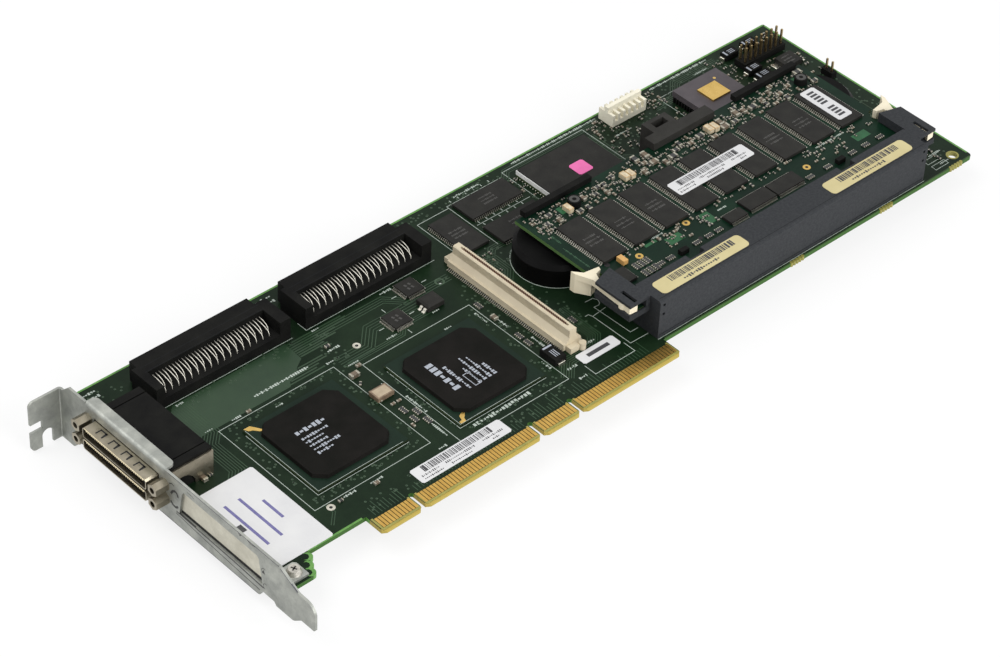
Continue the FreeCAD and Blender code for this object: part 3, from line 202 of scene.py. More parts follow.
def surface(name, colour, shade, rough=0.5, spread=0.1, metal=0.0, mottle=250.0, grain=2500.0,
            bump=0.15, specular=0.5):
    """Mottled colour, uneven roughness and a fine relief, all from noise."""
    mat = bpy.data.materials.new(name)
    mat.use_nodes = True
    tree = mat.node_tree
    place = tree.nodes.new("ShaderNodeTexCoord").outputs["Object"]
    fine = noise(tree, place, grain, 4.0)
    relief = add(tree, "Bump", {"Strength": bump, "Distance": RELIEF_DEPTH, "Height": fine})
    wire(tree, tree.nodes["Principled BSDF"], {
        "Base Color": two_tones(tree, noise(tree, place, mottle), shade, colour),
        "Roughness": remap(tree, fine, rough - spread, rough + spread),
        "Normal": relief.outputs["Normal"],
        "Metallic": metal,
        "Specular IOR Level": specular,
    })
    return mat


def recolour(mat, change):
    """Gives a material's colour back through change(tree, texture coordinates, colour)."""
    tree = mat.node_tree
    shader = tree.nodes["Principled BSDF"]
    colour = shader.inputs["Base Color"].links[0].from_socket
    coords = tree.nodes.new("ShaderNodeTexCoord").outputs
    wire(tree, shader, {"Base Color": change(tree, coords, colour)})
    return mat


def board_surface(name, green, deep, edge):
    """Solder mask over copper, with the bare laminate of the cut edges; their sides facing -Y are darkened as
    painted shade.
    """
    def layers(tree, coords, mask):
        weave = remap(tree, noise(tree, coords["Object"], 900.0), 0.0, 0.35)
        mask = mix_colour(tree, weave, mask, deep)
        normal = add(tree, "SeparateXYZ", {"Vector": coords["Normal"]}).outputs
        place = add(tree, "SeparateXYZ", {"Vector": coords["Object"]}).outputs
        # painted shade: sides facing -Y, toward the contacts, are darkened
        toward_contacts = calculate(tree, "LESS_THAN", normal["Y"], -0.5)
        sides = mix_colour(tree, toward_contacts, edge, tuple(SHADED_EDGE * part for part in edge))
        low = calculate(tree, "LESS_THAN", place["Y"], DATUM.y + TONGUE_TOP_Y * MM)
        past_foot = calculate(tree, "GREATER_THAN", place["X"], DATUM.x + TONGUE_FROM_X * MM)
        sides = mix_colour(tree, calculate(tree, "MULTIPLY", low, past_foot), sides, TONGUE_EDGE)
        flat = calculate(tree, "GREATER_THAN", calculate(tree, "ABSOLUTE", normal["Z"]), FLAT_NORMAL)
        return mix_colour(tree, flat, sides, mask)

    return recolour(surface(name, green, deep, 0.36, 0.07, 0.0, 70.0, 1500.0, 0.1, 0.1), layers)


def sheet_surface(name, colour, shade):
    """Zinc-plated sheet with spangled crystals."""
    def spangle(tree, coords, base):
        crystal = add(tree, "TexVoronoi", {"Vector": coords["Object"], "Scale": 420.0})
        tone = add(tree, "SeparateColor", {"Color": crystal.outputs["Color"]})
        return mix_colour(tree, remap(tree, tone.outputs["Red"], 0.0, 0.3), base, shade)

    return recolour(surface(name, colour, shade, 0.56, 0.1, 0.85, 170.0, 1400.0, 0.25), spangle)


# colour, shade, roughness, its spread, metal, mottle, grain, bump, specular
LOOKS = {
    "copper": ((0.030, 0.062, 0.030), (0.018, 0.042, 0.021), 0.34, 0.06, 0, 120, 2500, 0.15, 0.28),
    "via": ((0.050, 0.088, 0.048), (0.030, 0.058, 0.032), 0.36, 0.06, 0, 900, 2500, 0.15, 0.28),
    "pour": ((0.026, 0.054, 0.026), (0.016, 0.037, 0.018), 0.36, 0.06, 0, 60, 2500, 0.15, 0.28),
    "faint_green": ((0.045, 0.10, 0.055), (0.03, 0.07, 0.04), 0.4, 0.06, 0, 900, 2500, 0.15, 0.14),
    "patch": ((0.018, 0.105, 0.038), (0.012, 0.070, 0.026), 0.36, 0.06, 0, 300, 2500, 0.15, 0.28),
    "rim": ((0.13, 0.30, 0.07), (0.08, 0.21, 0.05), 0.5, 0.1, 0, 500, 2500, 0.15, 0.3),
    "dim_rim": ((0.045, 0.085, 0.03), (0.025, 0.055, 0.02), 0.5, 0.1, 0, 500, 2500, 0.15, 0.2),
    "silk": ((0.44, 0.49, 0.44), (0.31, 0.36, 0.32), 0.6, 0.1, 0, 900),
    "pad_gold": ((0.64, 0.405, 0.105), (0.52, 0.31, 0.075), 0.36, 0.08, 1, 300),
    "gold": ((0.70, 0.48, 0.155), (0.59, 0.39, 0.11), 0.33, 0.08, 1, 300),
    "tin": ((0.72, 0.70, 0.60), (0.50, 0.48, 0.40), 0.32, 0.12, 1, 900),
    "bright_tin": ((0.78, 0.75, 0.66), (0.62, 0.60, 0.52), 0.4, 0.1, 0.3, 900),
    "lead": ((0.62, 0.60, 0.54), (0.40, 0.38, 0.33), 0.36, 0.12, 1, 900),
    "screw_tin": ((0.60, 0.58, 0.52), (0.36, 0.34, 0.30), 0.34, 0.1, 0.8, 900),
    # painted highlight: bright cream for the shell lips and the contact tips
    "painted_highlight": ((0.92, 0.80, 0.54), (0.74, 0.63, 0.40), 0.35, 0.05, 0.3, 300),
    "end": ((0.50, 0.48, 0.40), (0.25, 0.23, 0.18), 0.36, 0.12, 0.6, 2500),
    "faint": ((0.052, 0.051, 0.047), (0.030, 0.029, 0.027), 0.6, 0.1, 0, 1200),
    "cream_cap": ((0.66, 0.58, 0.42), (0.40, 0.31, 0.19), 0.5, 0.1, 0, 700),
    "brown_rib": ((0.20, 0.10, 0.06), (0.11, 0.055, 0.035), 0.5, 0.1, 0, 900),
    "nickel": ((0.40, 0.36, 0.28), (0.27, 0.24, 0.18), 0.34, 0.08, 1, 200),
    "support": ((0.032, 0.031, 0.028), (0.022, 0.021, 0.019), 0.55, 0.12, 0, 150, 3200, 0.35, 0.1),
    "black": ((0.010, 0.010, 0.009), (0.005, 0.005, 0.005), 0.55, 0.12, 0, 150, 3200, 0.35, 0.05),
    "socket": ((0.033, 0.035, 0.038), (0.020, 0.022, 0.025), 0.58, 0.1, 0, 1100, 3000, 0.3, 0.15),
    "chip": ((0.020, 0.0195, 0.017), (0.012, 0.0115, 0.0105), 0.58, 0.1, 0, 220, 4200, 0.4, 0.15),
    "cap": ((0.011, 0.010, 0.009), (0.006, 0.006, 0.005), 0.55, 0.1, 0, 120, 4200, 0.4, 0.04),
    "ivory": ((0.58, 0.51, 0.37), (0.50, 0.43, 0.31), 0.45, 0.1, 0, 120),
    "latch": ((0.80, 0.73, 0.56), (0.71, 0.64, 0.48), 0.45, 0.1, 0, 120),
    "header": ((0.84, 0.80, 0.66), (0.76, 0.72, 0.58), 0.45, 0.1, 0, 120),
    "ceramic": ((0.072, 0.060, 0.066), (0.052, 0.044, 0.050), 0.62, 0.08, 0, 200, 5000, 0.3),
    "crystal": ((0.22, 0.155, 0.10), (0.13, 0.09, 0.06), 0.5, 0.1, 0, 500),
    "crystal_lid": ((0.44, 0.36, 0.25), (0.32, 0.25, 0.17), 0.42, 0.1, 0.2, 300),
    "tan": ((0.62, 0.36, 0.12), (0.46, 0.26, 0.08), 0.45, 0.1, 0, 600),
    "spreader": ((0.82, 0.82, 0.80), (0.66, 0.66, 0.65), 0.45),
    "white_paper": ((0.64, 0.64, 0.64), (0.58, 0.58, 0.59), 0.55, 0.08, 0, 90, 2500, 0.1),
    "cream_paper": ((0.56, 0.49, 0.26), (0.49, 0.42, 0.21), 0.6, 0.08, 0, 90),
    "pink_paper": ((0.80, 0.16, 0.42), (0.72, 0.13, 0.37), 0.55, 0.08, 0, 300),
    "ink": ((0.020, 0.020, 0.022), (0.05, 0.05, 0.055), 0.6, 0.08, 0, 1500),
    "blue_ink": ((0.10, 0.095, 0.24), (0.16, 0.15, 0.32), 0.6, 0.08, 0, 1500),
    "chip_print": ((0.42, 0.45, 0.50), (0.26, 0.28, 0.32), 0.6, 0.1, 0, 2500),
    "pin": ((0.48, 0.36, 0.18), (0.28, 0.21, 0.11), 0.35, 0.1, 1, 900),
    "resistor": ((0.016, 0.016, 0.016), (0.03, 0.03, 0.028), 0.45, 0.1, 0, 900),
    "ceramic_chip": ((0.16, 0.12, 0.08), (0.09, 0.07, 0.05), 0.5, 0.1, 0, 700),
    # dark marks of the bracket face, and its painted shade lines
    "marks_and_shade": ((0.05, 0.05, 0.047), (0.022, 0.022, 0.022), 0.6, 0.1, 0.2, 900),
    "cut_edge": ((0.10, 0.10, 0.12), (0.06, 0.06, 0.07), 0.5, 0.1, 0.4, 600),
    # painted shade for grooves and ledges
    "groove_shade": ((0.012, 0.013, 0.015), (0.008, 0.009, 0.010), 0.6, 0.1, 0, 250, 2500, 0.15, 0.1),
    # near black for holes, recesses and shadows: painted shade
    "hole": ((0.006, 0.006, 0.006), (0.003, 0.003, 0.003), 0.8),
    "laminate": ((0.30, 0.27, 0.06), (0.22, 0.21, 0.05), 0.5, 0.1, 0, 500),
    "sleeve": ((0.004, 0.004, 0.004), (0.002, 0.002, 0.002), 0.5, 0.08, 0, 80, 1200, 0.25, 0.05),
}
MATS = {look: surface(look, *values) for look, values in LOOKS.items()}
MATS["board"] = board_surface("board", (0.010, 0.023, 0.010), (0.003, 0.010, 0.004), (0.10, 0.27, 0.05))
MATS["module"] = board_surface("module", (0.006, 0.026, 0.013), (0.002, 0.011, 0.006), (0.08, 0.15, 0.05))
MATS["carrier"] = board_surface("carrier", (0.010, 0.024, 0.014), (0.005, 0.013, 0.008), (0.05, 0.07, 0.03))
MATS["zinc"] = sheet_surface("zinc", (0.44, 0.45, 0.41), (0.27, 0.28, 0.26))
MATS["cover"] = sheet_surface("cover", (0.62, 0.60, 0.51), (0.50, 0.48, 0.40))

NODE_LOOKS = {
    "board": "main_board",
    "module": "module_board",
    "carrier": "channel_chip_base bridge_chip_base array_chip_base",
    "gold": "processor_lid",
    "pad_gold": "edge_contacts_component_side edge_contacts_solder_side",
    "zinc": "slot_bracket",
    "cover": "slot_cover_plate",
    "screw_tin": "bracket_screw",
    "nickel": "external_connector_shield external_connector_shells jack_posts",
    "black": "external_connector_housing external_connector_inserts internal_connector_a"
             " internal_connector_b processor_seat pin_header_base jumper_base module_clip_left"
             " module_clip_right large_capacitor capacitors module_inductors",
    "support": "module_support",
    "sleeve": "battery_pack_left battery_pack_right",
    "socket": "memory_socket",
    "chip": "flat_pack_chips board_memory_chips power_transistor voltage_regulator"
            " module_memory_chips module_logic_chips array_chip_top",
    "cap": "channel_chip_cap bridge_chip_cap",
    "ivory": "mezzanine_connector",
    "latch": "left_latch right_latch",
    "header": "wire_header",
    "ceramic": "processor_body",
    "crystal": "crystal_can",
    "tan": "module_capacitors",
    "spreader": "array_chip_spreader",
    "pin": "pin_header_pins jumper_pins",
    "tin": "internal_connector_a_contacts internal_connector_b_contacts",
    "white_paper": "slot_label barcode_label small_label module_barcode_label chip_label",
    "cream_paper": "socket_labels",
    "pink_paper": "array_chip_label",
}


def dress_nodes():
    for look, names in NODE_LOOKS.items():
        for name in names.split():
            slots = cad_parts[name].data.materials
            slots.clear()
            slots.append(MATS[look])


# -------------------------------------------------------------- mesh building
class Stock:
    """Gathers many small solids into the mesh of one piece."""

    def __init__(self):
        self.points = []
        self.faces = []

    def rings(self, loops, closed=False):
        """Skin over equal loops, capped at both ends unless it closes on itself."""
        start = len(self.points)
        count = len(loops[0])
        for loop in loops:
            self.points += loop
        last = len(loops) if closed else len(loops) - 1
        for level in range(last):
            low = start + level * count
            high = start + (level + 1) % len(loops) * count
            for i in range(count):
                j = (i + 1) % count
                self.faces.append((low + i, low + j, high + j, high + i))
        if not closed:
            top = start + count * (len(loops) - 1)
            self.faces.append(tuple(range(start + count - 1, start - 1, -1)))
            self.faces.append(tuple(range(top, top + count)))

    def prism(self, outline, z0, z1):
        self.rings([[(x, y, z) for x, y in outline] for z in (z0, z1)])

    def wall(self, outline, x0, x1):
        """Outline in Y and Z, thickness in X."""
        self.rings([[(x, y, z) for y, z in outline] for x in (x0, x1)])

    def wall_line(self, path, width, x0, x1):
        """Thin strip along a path in Y and Z."""
        for (y0, z0), (y1, z1) in zip(path, path[1:]):
            along = Vector((y1 - y0, z1 - z0)).normalized()
            side = Vector((-along.y, along.x)) * (width / 2)
            self.wall([(y0 - side.x, z0 - side.y), (y1 - side.x, z1 - side.y),
                       (y1 + side.x, z1 + side.y), (y0 + side.x, z0 + side.y)], x0, x1)

    def block(self, at, length, width, z0, z1, turn=0.0, cut=0.0):
        """Box about a centre, turned in plan, its top edges cut back."""
        def loop(shrink, z):
            half_x, half_y = length / 2 - shrink, width / 2 - shrink
            return [(*turned(at, a * half_x, b * half_y, turn), z) for a, b in CORNERS]

        loops = [loop(0, z0), loop(0, z1 - cut)]
        if cut:
            loops.append(loop(cut, z1))
        self.rings(loops)

    def disc(self, at, radius, z0, z1, sides=12):
        self.prism(arc(at, radius, 0.0, 360.0 / sides, sides), z0, z1)

    def ring(self, at, inner, outer, z0, z1, sides=24, start=0.0, sweep=360.0):
        """Flat ring, or an arc of one."""
        whole = abs(sweep) >= 360.0
        self.rings([[(*turned(at, radius, 0.0, start + sweep * i / sides), z)
                     for radius, z in rectangle(inner, outer, z0, z1)]
                    for i in range(sides if whole else sides + 1)], closed=whole)

    def ribbon(self, path, width, z0, z1, closed=False):
        """Flat strip along a path in plan, mitred at its corners."""
        loops = []
        for i, point in enumerate(path):
            here = Vector(point)
            before = Vector(path[i - 1]) if i or closed else None
            after = Vector(path[(i + 1) % len(path)]) if i + 1 < len(path) or closed else None
            one = (here - before).normalized() if before is not None else (after - here).normalized()
            two = (after - here).normalized() if after is not None else one
            middle = Vector((-one.y - two.y, one.x + two.x))
            middle = middle.normalized() if middle.length > 1e-6 else Vector((-one.y, one.x))
            reach = width / 2 / max(0.35, middle.dot(Vector((-one.y, one.x))))
            left, right = here + middle * reach, here - middle * reach
            loops.append([(right.x, right.y, z0), (left.x, left.y, z0),
                          (left.x, left.y, z1), (right.x, right.y, z1)])
        self.rings(loops, closed)

    def sweep(self, path, across, section):
        """Section of (across, upward) places carried along a path that stays square to across."""
        across = Vector(across).normalized()
        path = [Vector(p) for p in path]
        loops = []
        for i, point in enumerate(path):
            ahead = path[min(i + 1, len(path) - 1)] - path[max(i - 1, 0)]
            upward = across.cross(ahead).normalized()
            loops.append([tuple(point + across * a + upward * b) for a, b in section])
        self.rings(loops)

    def bar(self, path, across, width, thick):
        """Rectangular strip bent along a path; across is its level width direction."""
        self.sweep(path, across, [(a * width / 2, b * thick / 2) for a, b in CORNERS])

    def tube(self, path, across, radius, sides=6):
        """Round wire bent along a path."""
        self.sweep(path, across, arc((0.0, 0.0), radius, 0.0, 360.0 / sides, sides))


def piece(name, stock, look, body="card", smooth=False):
    """The gathered solids as one object that rides with its body."""
    mesh = bpy.data.meshes.new(name)
    mesh.from_pydata([tuple(DATUM + Vector(p) * MM) for p in stock.points], [], stock.faces)
    work = bmesh.new()
    work.from_mesh(mesh)
    bmesh.ops.recalc_face_normals(work, faces=work.faces)
    work.to_mesh(mesh)
    work.free()
    mesh.materials.append(MATS[look])
    for polygon in mesh.polygons:
        polygon.use_smooth = smooth
    thing = bpy.data.objects.new(name, mesh)
    bpy.context.scene.collection.objects.link(thing)
    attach(thing, body)
    return thing


# ------------------------------------------------------------ board's surface
TRACK_LIFT = 0.035
PRINT_LIFT = 0.04
SILK_WIDTH = 0.2
PAD_PITCH = 1.27
KEYS_X = (0, 48.3, 64.8)
VIA_HOLE = 0.16
VIA_RIM = 0.40
VIA_LIFT = 0.045
PLATED_RINGS = (((31.5, 68.0), 1.35), ((-21.5, 18.0), 1.4))
TOOLING_HOLE = (72.0, 74.5)
RING_FOOT = -1.55
FAR_HOLE_Y = 12.6
# path, number of tracks and their pitch
TRACK_BUNDLES = (
    ([(22, 65.5), (34, 65.5), (40, 71.5), (60, 71.5)], 5, 1.1),
    ([(20, 79.5), (52, 79.5), (57, 74.5), (76, 74.5)], 4, 1.0),
    ([(24, 62.8), (46, 62.8), (49, 65.8), (62, 65.8)], 3, 0.8),
    ([(-36, 44), (-32, 48), (-32, 62), (-28, 66), (-28, 82)], 7, 0.9),
    ([(-26, 12), (-22, 16), (-22, 20)], 2, 0.8),
    ([(71.5, 14.5), (77, 20), (88, 20), (92, 24), (92, 40)], 6, 0.8),
    ([(88, 44), (88, 60), (93, 65), (93, 76)], 5, 0.9),
    ([(124, 100), (127, 103), (168, 103)], 4, 0.8),
    ([(162, 99), (162, 84), (168, 78)], 5, 0.8),
    ([(190, 96), (200, 96), (206, 102), (226, 102)], 5, 0.8),
    ([(222, 96), (222, 80)], 4, 0.8),
    ([(86, 66), (96, 76), (122, 76)], 4, 0.8),
    ([(238, 30), (246, 38), (246, 66)], 5, 0.9),
)
# left, right, low and high limits, and how many holes
VIA_AREAS = (
    (-24, 18, 21.5, 24.0, 46), (-24, 18, 62.6, 64.6, 34), (-25, -22, 26, 62, 24), (16, 19, 26, 62, 26),
    (29, 70, 15.5, 18.0, 34), (68, 71, 20, 58, 26), (28, 31, 20, 56, 22), (-16, 68, 9.0, 13.6, 60),
    (20, 28, 60, 80, 26), (-26, 18, 79, 83.5, 40), (88, 96, 24, 54, 40), (72, 78, 28, 76, 42),
    (160, 197, 84, 96, 70), (164, 228, 97, 104.5, 90), (124, 128, 74, 102, 30), (238, 250, 14, 64, 60),
    (72, 124, 101, 105, 60), (88, 100, 66, 78, 26), (244, 253, 40, 96, 46), (-54, -36, 90, 104, 24),
)
SILK_PATHS = (
    ((85.5, 75.5), (85.5, 100.5), (99.3, 100.5)),
    ((99.3, 76.5), (99.3, 101.5), (124.0, 101.5)),
    ((100.5, 87.9), (124.0, 87.9)),
    ((125.5, 80.0), (125.5, 103.2), (162.5, 103.2), (162.5, 82.0)),
    ((195.0, 84.0), (195.0, 99.0), (222.5, 99.0), (222.5, 86.0)),
    ((100.7, 37.2), (103.9, 37.0), (104.7, 35.5), (104.1, 34.0), (103.2, 33.4), (101.2, 33.6), (101.3, 30.8)),
    ((95.9, 32.1), (97.3, 32.1), (97.8, 30.6), (98.0, 13.7), (105.6, 13.5)),
    ((97.8, 30.6), (104.0, 31.2)),
    ((101.3, 30.8), (101.7, 17.5), (105.0, 17.5)),
    ((105.9, 9.3), (231.5, 9.3)),
    ((79.5, 15.2), (79.5, 10.2), (96.5, 10.2), (96.5, 15.2)),
)
FLAT_PACK_TICKS = ((62.0, 78.0), (48.8, 68.8))
# start, length and height of each row of dashes
BOARD_MARKS = (
    (-29.5, 67.2, 3.6, 0.9), (-20.0, 66.2, 4.0, 0.9), (-6.0, 62.3, 3.4, 0.9), (18.6, 67.4, 4.0, 0.9),
    (-28.8, 82.2, 3.0, 0.9), (25.0, 82.2, 3.0, 0.9), (53.0, 82.0, 5.0, 1.0), (22.6, 71.6, 5.0, 1.0),
    (-8.0, 70.2, 22.0, 1.1), (23.0, 62.4, 5.0, 0.9), (40.5, 64.2, 5.0, 0.9), (57.5, 56.0, 3.6, 0.9),
    (-16.0, 18.8, 5.0, 1.0), (-6.0, 18.2, 5.0, 1.0), (19.5, 16.2, 3.4, 1.0), (-52.0, 103.6, 9.0, 1.2),
    (-52.0, 101.2, 9.0, 1.2), (20.2, 103.8, 6.0, 1.2), (20.2, 101.4, 6.0, 1.2), (131.0, 104.8, 40.0, 1.0),
    (196.0, 104.6, 28.0, 1.0), (74.0, 17.2, 4.5, 1.0), (74.0, 11.8, 3.6, 1.0), (86.5, 22.4, 4.5, 1.0),
    (104.0, 103.8, 12.0, 1.0), (242.5, 17.2, 6.0, 0.9), (242.5, 12.0, 5.0, 0.9), (34.5, 17.2, 24.0, 1.6),
    (60.0, 64.6, 3.2, 0.9), (168.5, 93.2, 8.0, 0.8), (214.0, 101.0, 7.0, 0.9),
)
UPRIGHT_MARKS = (
    (25.6, 19.0, 8.0, 0.9), (27.9, 31.0, 10.0, 0.9), (25.8, 44.0, 6.0, 0.9), (70.6, 21.0, 5.0, 0.9),
    (73.8, 44.0, 6.0, 0.9), (70.2, 50.0, 6.0, 0.9), (76.2, 30.0, 6.0, 0.9),
)


def offset_path(path, shift):
    """The path moved sideways, its corners kept parallel."""
    moved = []
    for i, point in enumerate(path):
        here = Vector(point)
        before = Vector(path[max(i - 1, 0)])
        after = Vector(path[min(i + 1, len(path) - 1)])
        one = (here - before).normalized() if i else (after - here).normalized()
        two = (after - here).normalized() if i + 1 < len(path) else one
        middle = Vector((-one.y - two.y, one.x + two.x)).normalized()
        moved.append(tuple(here + middle * (shift / middle.dot(Vector((-one.y, one.x))))))
    return moved


def bundle(stock, path, count, pitch, width=0.28, base=0.0):
    """Parallel tracks side by side."""
    for shift in spread(count, pitch):
        stock.ribbon(offset_path(path, shift), width, base, base + TRACK_LIFT)


def board_tracks():
    tracks, pour = Stock(), Stock()
    for path, count, pitch in TRACK_BUNDLES:
        bundle(tracks, path, count, pitch)
    x = -13.5
    while x < 100:
        if all(abs(x - key) > 2 for key in KEYS_X):
            tracks.ribbon([(x, 7.0), (x, dice.uniform(9.2, 13.0))], 0.3, 0.0, TRACK_LIFT)
        x += PAD_PITCH
    pour.prism([(-33.5, 66.5), (3.5, 66.5), (5.0, 68.5), (9.5, 69.5), (10.5, 72.0), (14.5, 74.5),
                (15.0, 83.0), (-29.5, 83.0), (-33.5, 79.0)], 0.0, 0.01)
    for i in range(8):
        y = 75.2 + 1.0 * i
        pour.ribbon([(14.8, y), (dice.uniform(21, 27) + 2.2 * i, y)], 0.62, 0.0, 0.01)
    for i in range(5):
        y = 67.2 + 1.1 * i
        pour.ribbon([(3.4 + 1.8 * i, y), (dice.uniform(13, 18) + 1.5 * i, y)], 0.55, 0.0, 0.012)
    piece("copper_pour", pour, "pour")
    piece("board_tracks", tracks, "copper")


def via_places():
    """Plated through holes: rows and clusters where tracks end."""
    return [(dice.uniform(x0, x1), dice.uniform(y0, y1))
            for x0, x1, y0, y1, count in VIA_AREAS for _ in range(count)]


def board_vias(places):
    rims, holes = Stock(), Stock()
    for at in places:
        rims.ring(at, VIA_HOLE, VIA_RIM, 0.0, VIA_LIFT, 8)
        # painted shade in each via hole
        holes.disc(at, VIA_HOLE, 0.0, 0.05, 6)
    piece("via_rims", rims, "via")
    piece("via_holes", holes, "hole")
    plated, holes, tooling, far = Stock(), Stock(), Stock(), Stock()
    for at, outer in PLATED_RINGS:
        plated.ring(at, 0.55, outer, 0.0, 0.07, 24)
        # painted shade in the ring's hole
        holes.disc(at, 0.55, 0.0, 0.05, 16)
    tooling.ring(TOOLING_HOLE, 1.17, 1.7, RING_FOOT, 0.05, 24)
    far.ring((span("main_board").x1 - 5.33, FAR_HOLE_Y), 1.62, 2.25, RING_FOOT, 0.04, 28)
    piece("plated_rings", plated, "tin")
    piece("tooling_hole_ring", tooling, "via")
    piece("far_hole_ring", far, "laminate")
    piece("plated_ring_holes", holes, "hole")


DASH_PITCH = 0.82
SHORT_DASH = 0.45


def dashes(stock, x, y, length, height, z, along_y=False, lift=0.03, fill=0.72):
    """A row of short bars where print would stand."""
    pitch = height * DASH_PITCH
    for i in range(max(1, int(length / pitch))):
        centre = (i + 0.5) * pitch
        at = (x, y + centre) if along_y else (x + centre, y)
        tall = height * dice.choice((1.0, 1.0, 0.75, 0.9))
        if dice.choice((False, True)) != along_y:
            tall *= SHORT_DASH
        size = (tall, pitch * fill) if along_y else (pitch * fill, tall)
        stock.block(at, *size, z, z + lift)


def board_print():
    silk = Stock()

    def line(path, closed=False):
        silk.ribbon(path, SILK_WIDTH, 0.0, PRINT_LIFT, closed)

    def tick(x, y, length, width):
        silk.block((x, y), length, width, 0.0, PRINT_LIFT)

    for x0, x1, y0, y1 in ((-26.0, 19.5, 20.0, 65.0), (27.0, 71.5, 14.0, 60.0),
                           (239.2, 245.4, 14.2, 16.4), (239.2, 245.4, 10.6, 12.8)):
        line(rectangle(x0, x1, y0, y1), closed=True)
    for x0, x1 in ((-33.6, 18.6), (24.2, 78.0)):
        line([(x0, 88.0), (x0, 83.7), (x1, 83.7)])
        x = x0 + 5
        while x < x1 - 4:
            tick(x, 84.6, 0.35, 0.5)
            x += 3.2
    for path in SILK_PATHS:
        line(path)
    left, right = span("battery_pack_left"), span("battery_pack_right")
    silk.ring(left.middle, 14.5, 14.72, 0.0, PRINT_LIFT, 64, 120.0, 190.0)
    silk.ring((right.middle[0], left.middle[1]), 14.5, 14.72, 0.0, PRINT_LIFT, 64, -150.0, 190.0)
    for x, y in FLAT_PACK_TICKS:
        for side in (-6.3, 6.3):
            tick(x + side, y, 2.0, 0.25)
            tick(x, y + side, 0.25, 2.0)
    for mark in BOARD_MARKS:
        dashes(silk, *mark, 0.0)
    for mark in UPRIGHT_MARKS:
        dashes(silk, *mark, 0.0, along_y=True)
    x = 102.0
    while x < 122:
        tick(x, 88.9, 0.3, 1.1)
        tick(x + 0.8, 87.0, 0.3, 1.0)
        tick(x, 102.8, 0.3, 1.0)
        x += 3.4
    piece("board_print", silk, "silk")


# ------------------------------------------------------------ small components
SMALL_CHIPS = ((1.6, 0.8, 0.55), (1.0, 0.5, 0.4), (1.0, 0.5, 0.4), (1.3, 0.7, 0.5))
BIGGER_CHIPS = ((2.4, 1.4, 1.0), (2.0, 1.2, 0.9), (3.0, 1.8, 1.1))
BOARD_ARRAYS = ((25.6, 33.0), (25.6, 28.0), (22.8, 36.0), (22.8, 31.0), (73.4, 57.6), (73.4, 38.6),
                (73.4, 34.4), (91.6, 33.4))
# x, y, length, width, height, turn, whether it is brown
BOARD_CHIPS = (
    (21.6, 57.6, 3.2, 1.8, 1.3, 0, True), (-4.5, 17.0, 1.8, 1.0, 0.8, 0, True),
    (25.6, 60.4, 1.8, 1.0, 0.8, 0, True), (24.0, 73.4, 1.8, 1.0, 0.8, 0, False),
    (-13.6, 65.9, 1.6, 0.9, 0.7, 0, True), (-17.6, 18.2, 1.6, 0.9, 0.7, 0, False),
    (20.6, 53.6, 1.6, 0.8, 0.6, 45, False), (22.2, 40.2, 1.6, 0.8, 0.6, 0, True),
    (24.6, 40.2, 1.6, 0.8, 0.6, 0, True), (20.4, 43.8, 1.0, 0.6, 0.5, 90, False),
    (20.4, 48.6, 1.0, 0.6, 0.5, 90, False), (20.6, 29.0, 1.6, 0.8, 0.6, 90, True),
    (73.2, 50.0, 2.2, 1.6, 1.0, 90, True), (-42.5, 51.8, 3.0, 1.6, 1.2, 90, True),
    (-39.8, 51.6, 1.2, 0.8, 0.6, 0, False),
)
TRIES_EACH = 30
CHIP_GAP = 0.15
BROWN_SHARE = 0.35
BESIDE_CRYSTAL = (226, 236, 82, 92)
MODULE_RINGS = ((195.2, 30.7), (143.6, 35.7), (120.2, 33.4))
RING_CLEARANCE = 1.4


class Parts:
    """Chip resistors, chip capacitors and four-way arrays, gathered by material."""

    def __init__(self):
        self.dark, self.brown, self.ends = Stock(), Stock(), Stock()

    def chip(self, at, length, width, height, base, turn=0.0, brown=False):
        body = self.brown if brown else self.dark
        body.block(at, length * 0.62, width, base + 0.02, base + height, turn, 0.05)
        for reach in (-0.4 * length, 0.4 * length):
            end = turned(at, reach, 0.0, turn)
            self.ends.block(end, length * 0.22, width * 1.04, base, base + height * 1.03, turn, 0.06)

    def array(self, at, base, turn=0.0, ways=4, pitch=0.8):
        """Dark body with bright ends down both long sides."""
        self.dark.block(at, ways * pitch, 1.1, base + 0.02, base + 0.5, turn, 0.05)
        for along in spread(ways, pitch):
            for side in (-0.68, 0.68):
                end = turned(at, along, side, turn)
                self.ends.block(end, pitch * 0.5, 0.5, base, base + 0.46, turn, 0.08)

    def scatter(self, area, count, base, boxes, sizes=SMALL_CHIPS):
        """Chips in an area, none over another or over the boxes kept clear."""
        taken = list(boxes)
        x0, x1, y0, y1 = area
        placed = tries = 0
        while placed < count and tries < count * TRIES_EACH:
            tries += 1
            length, width, height = dice.choice(sizes)
            turn = dice.choice((0, 90))
            x, y = dice.uniform(x0, x1), dice.uniform(y0, y1)
            half_x, half_y = (width / 2, length / 2) if turn else (length / 2, width / 2)
            clear = max(half_x, half_y) + CHIP_GAP
            if any(a0 - clear < x < a1 + clear and b0 - clear < y < b1 + clear for a0, a1, b0, b1 in taken):
                continue
            self.chip((x, y), length, width, height, base, turn, brown=dice.random() < BROWN_SHARE)
            taken.append((x - half_x, x + half_x, y - half_y, y + half_y))
            placed += 1

    def finish(self, prefix):
        piece(prefix + "_dark_bodies", self.dark, "resistor")
        piece(prefix + "_brown_bodies", self.brown, "ceramic_chip")
        piece(prefix + "_solder_ends", self.ends, "end")


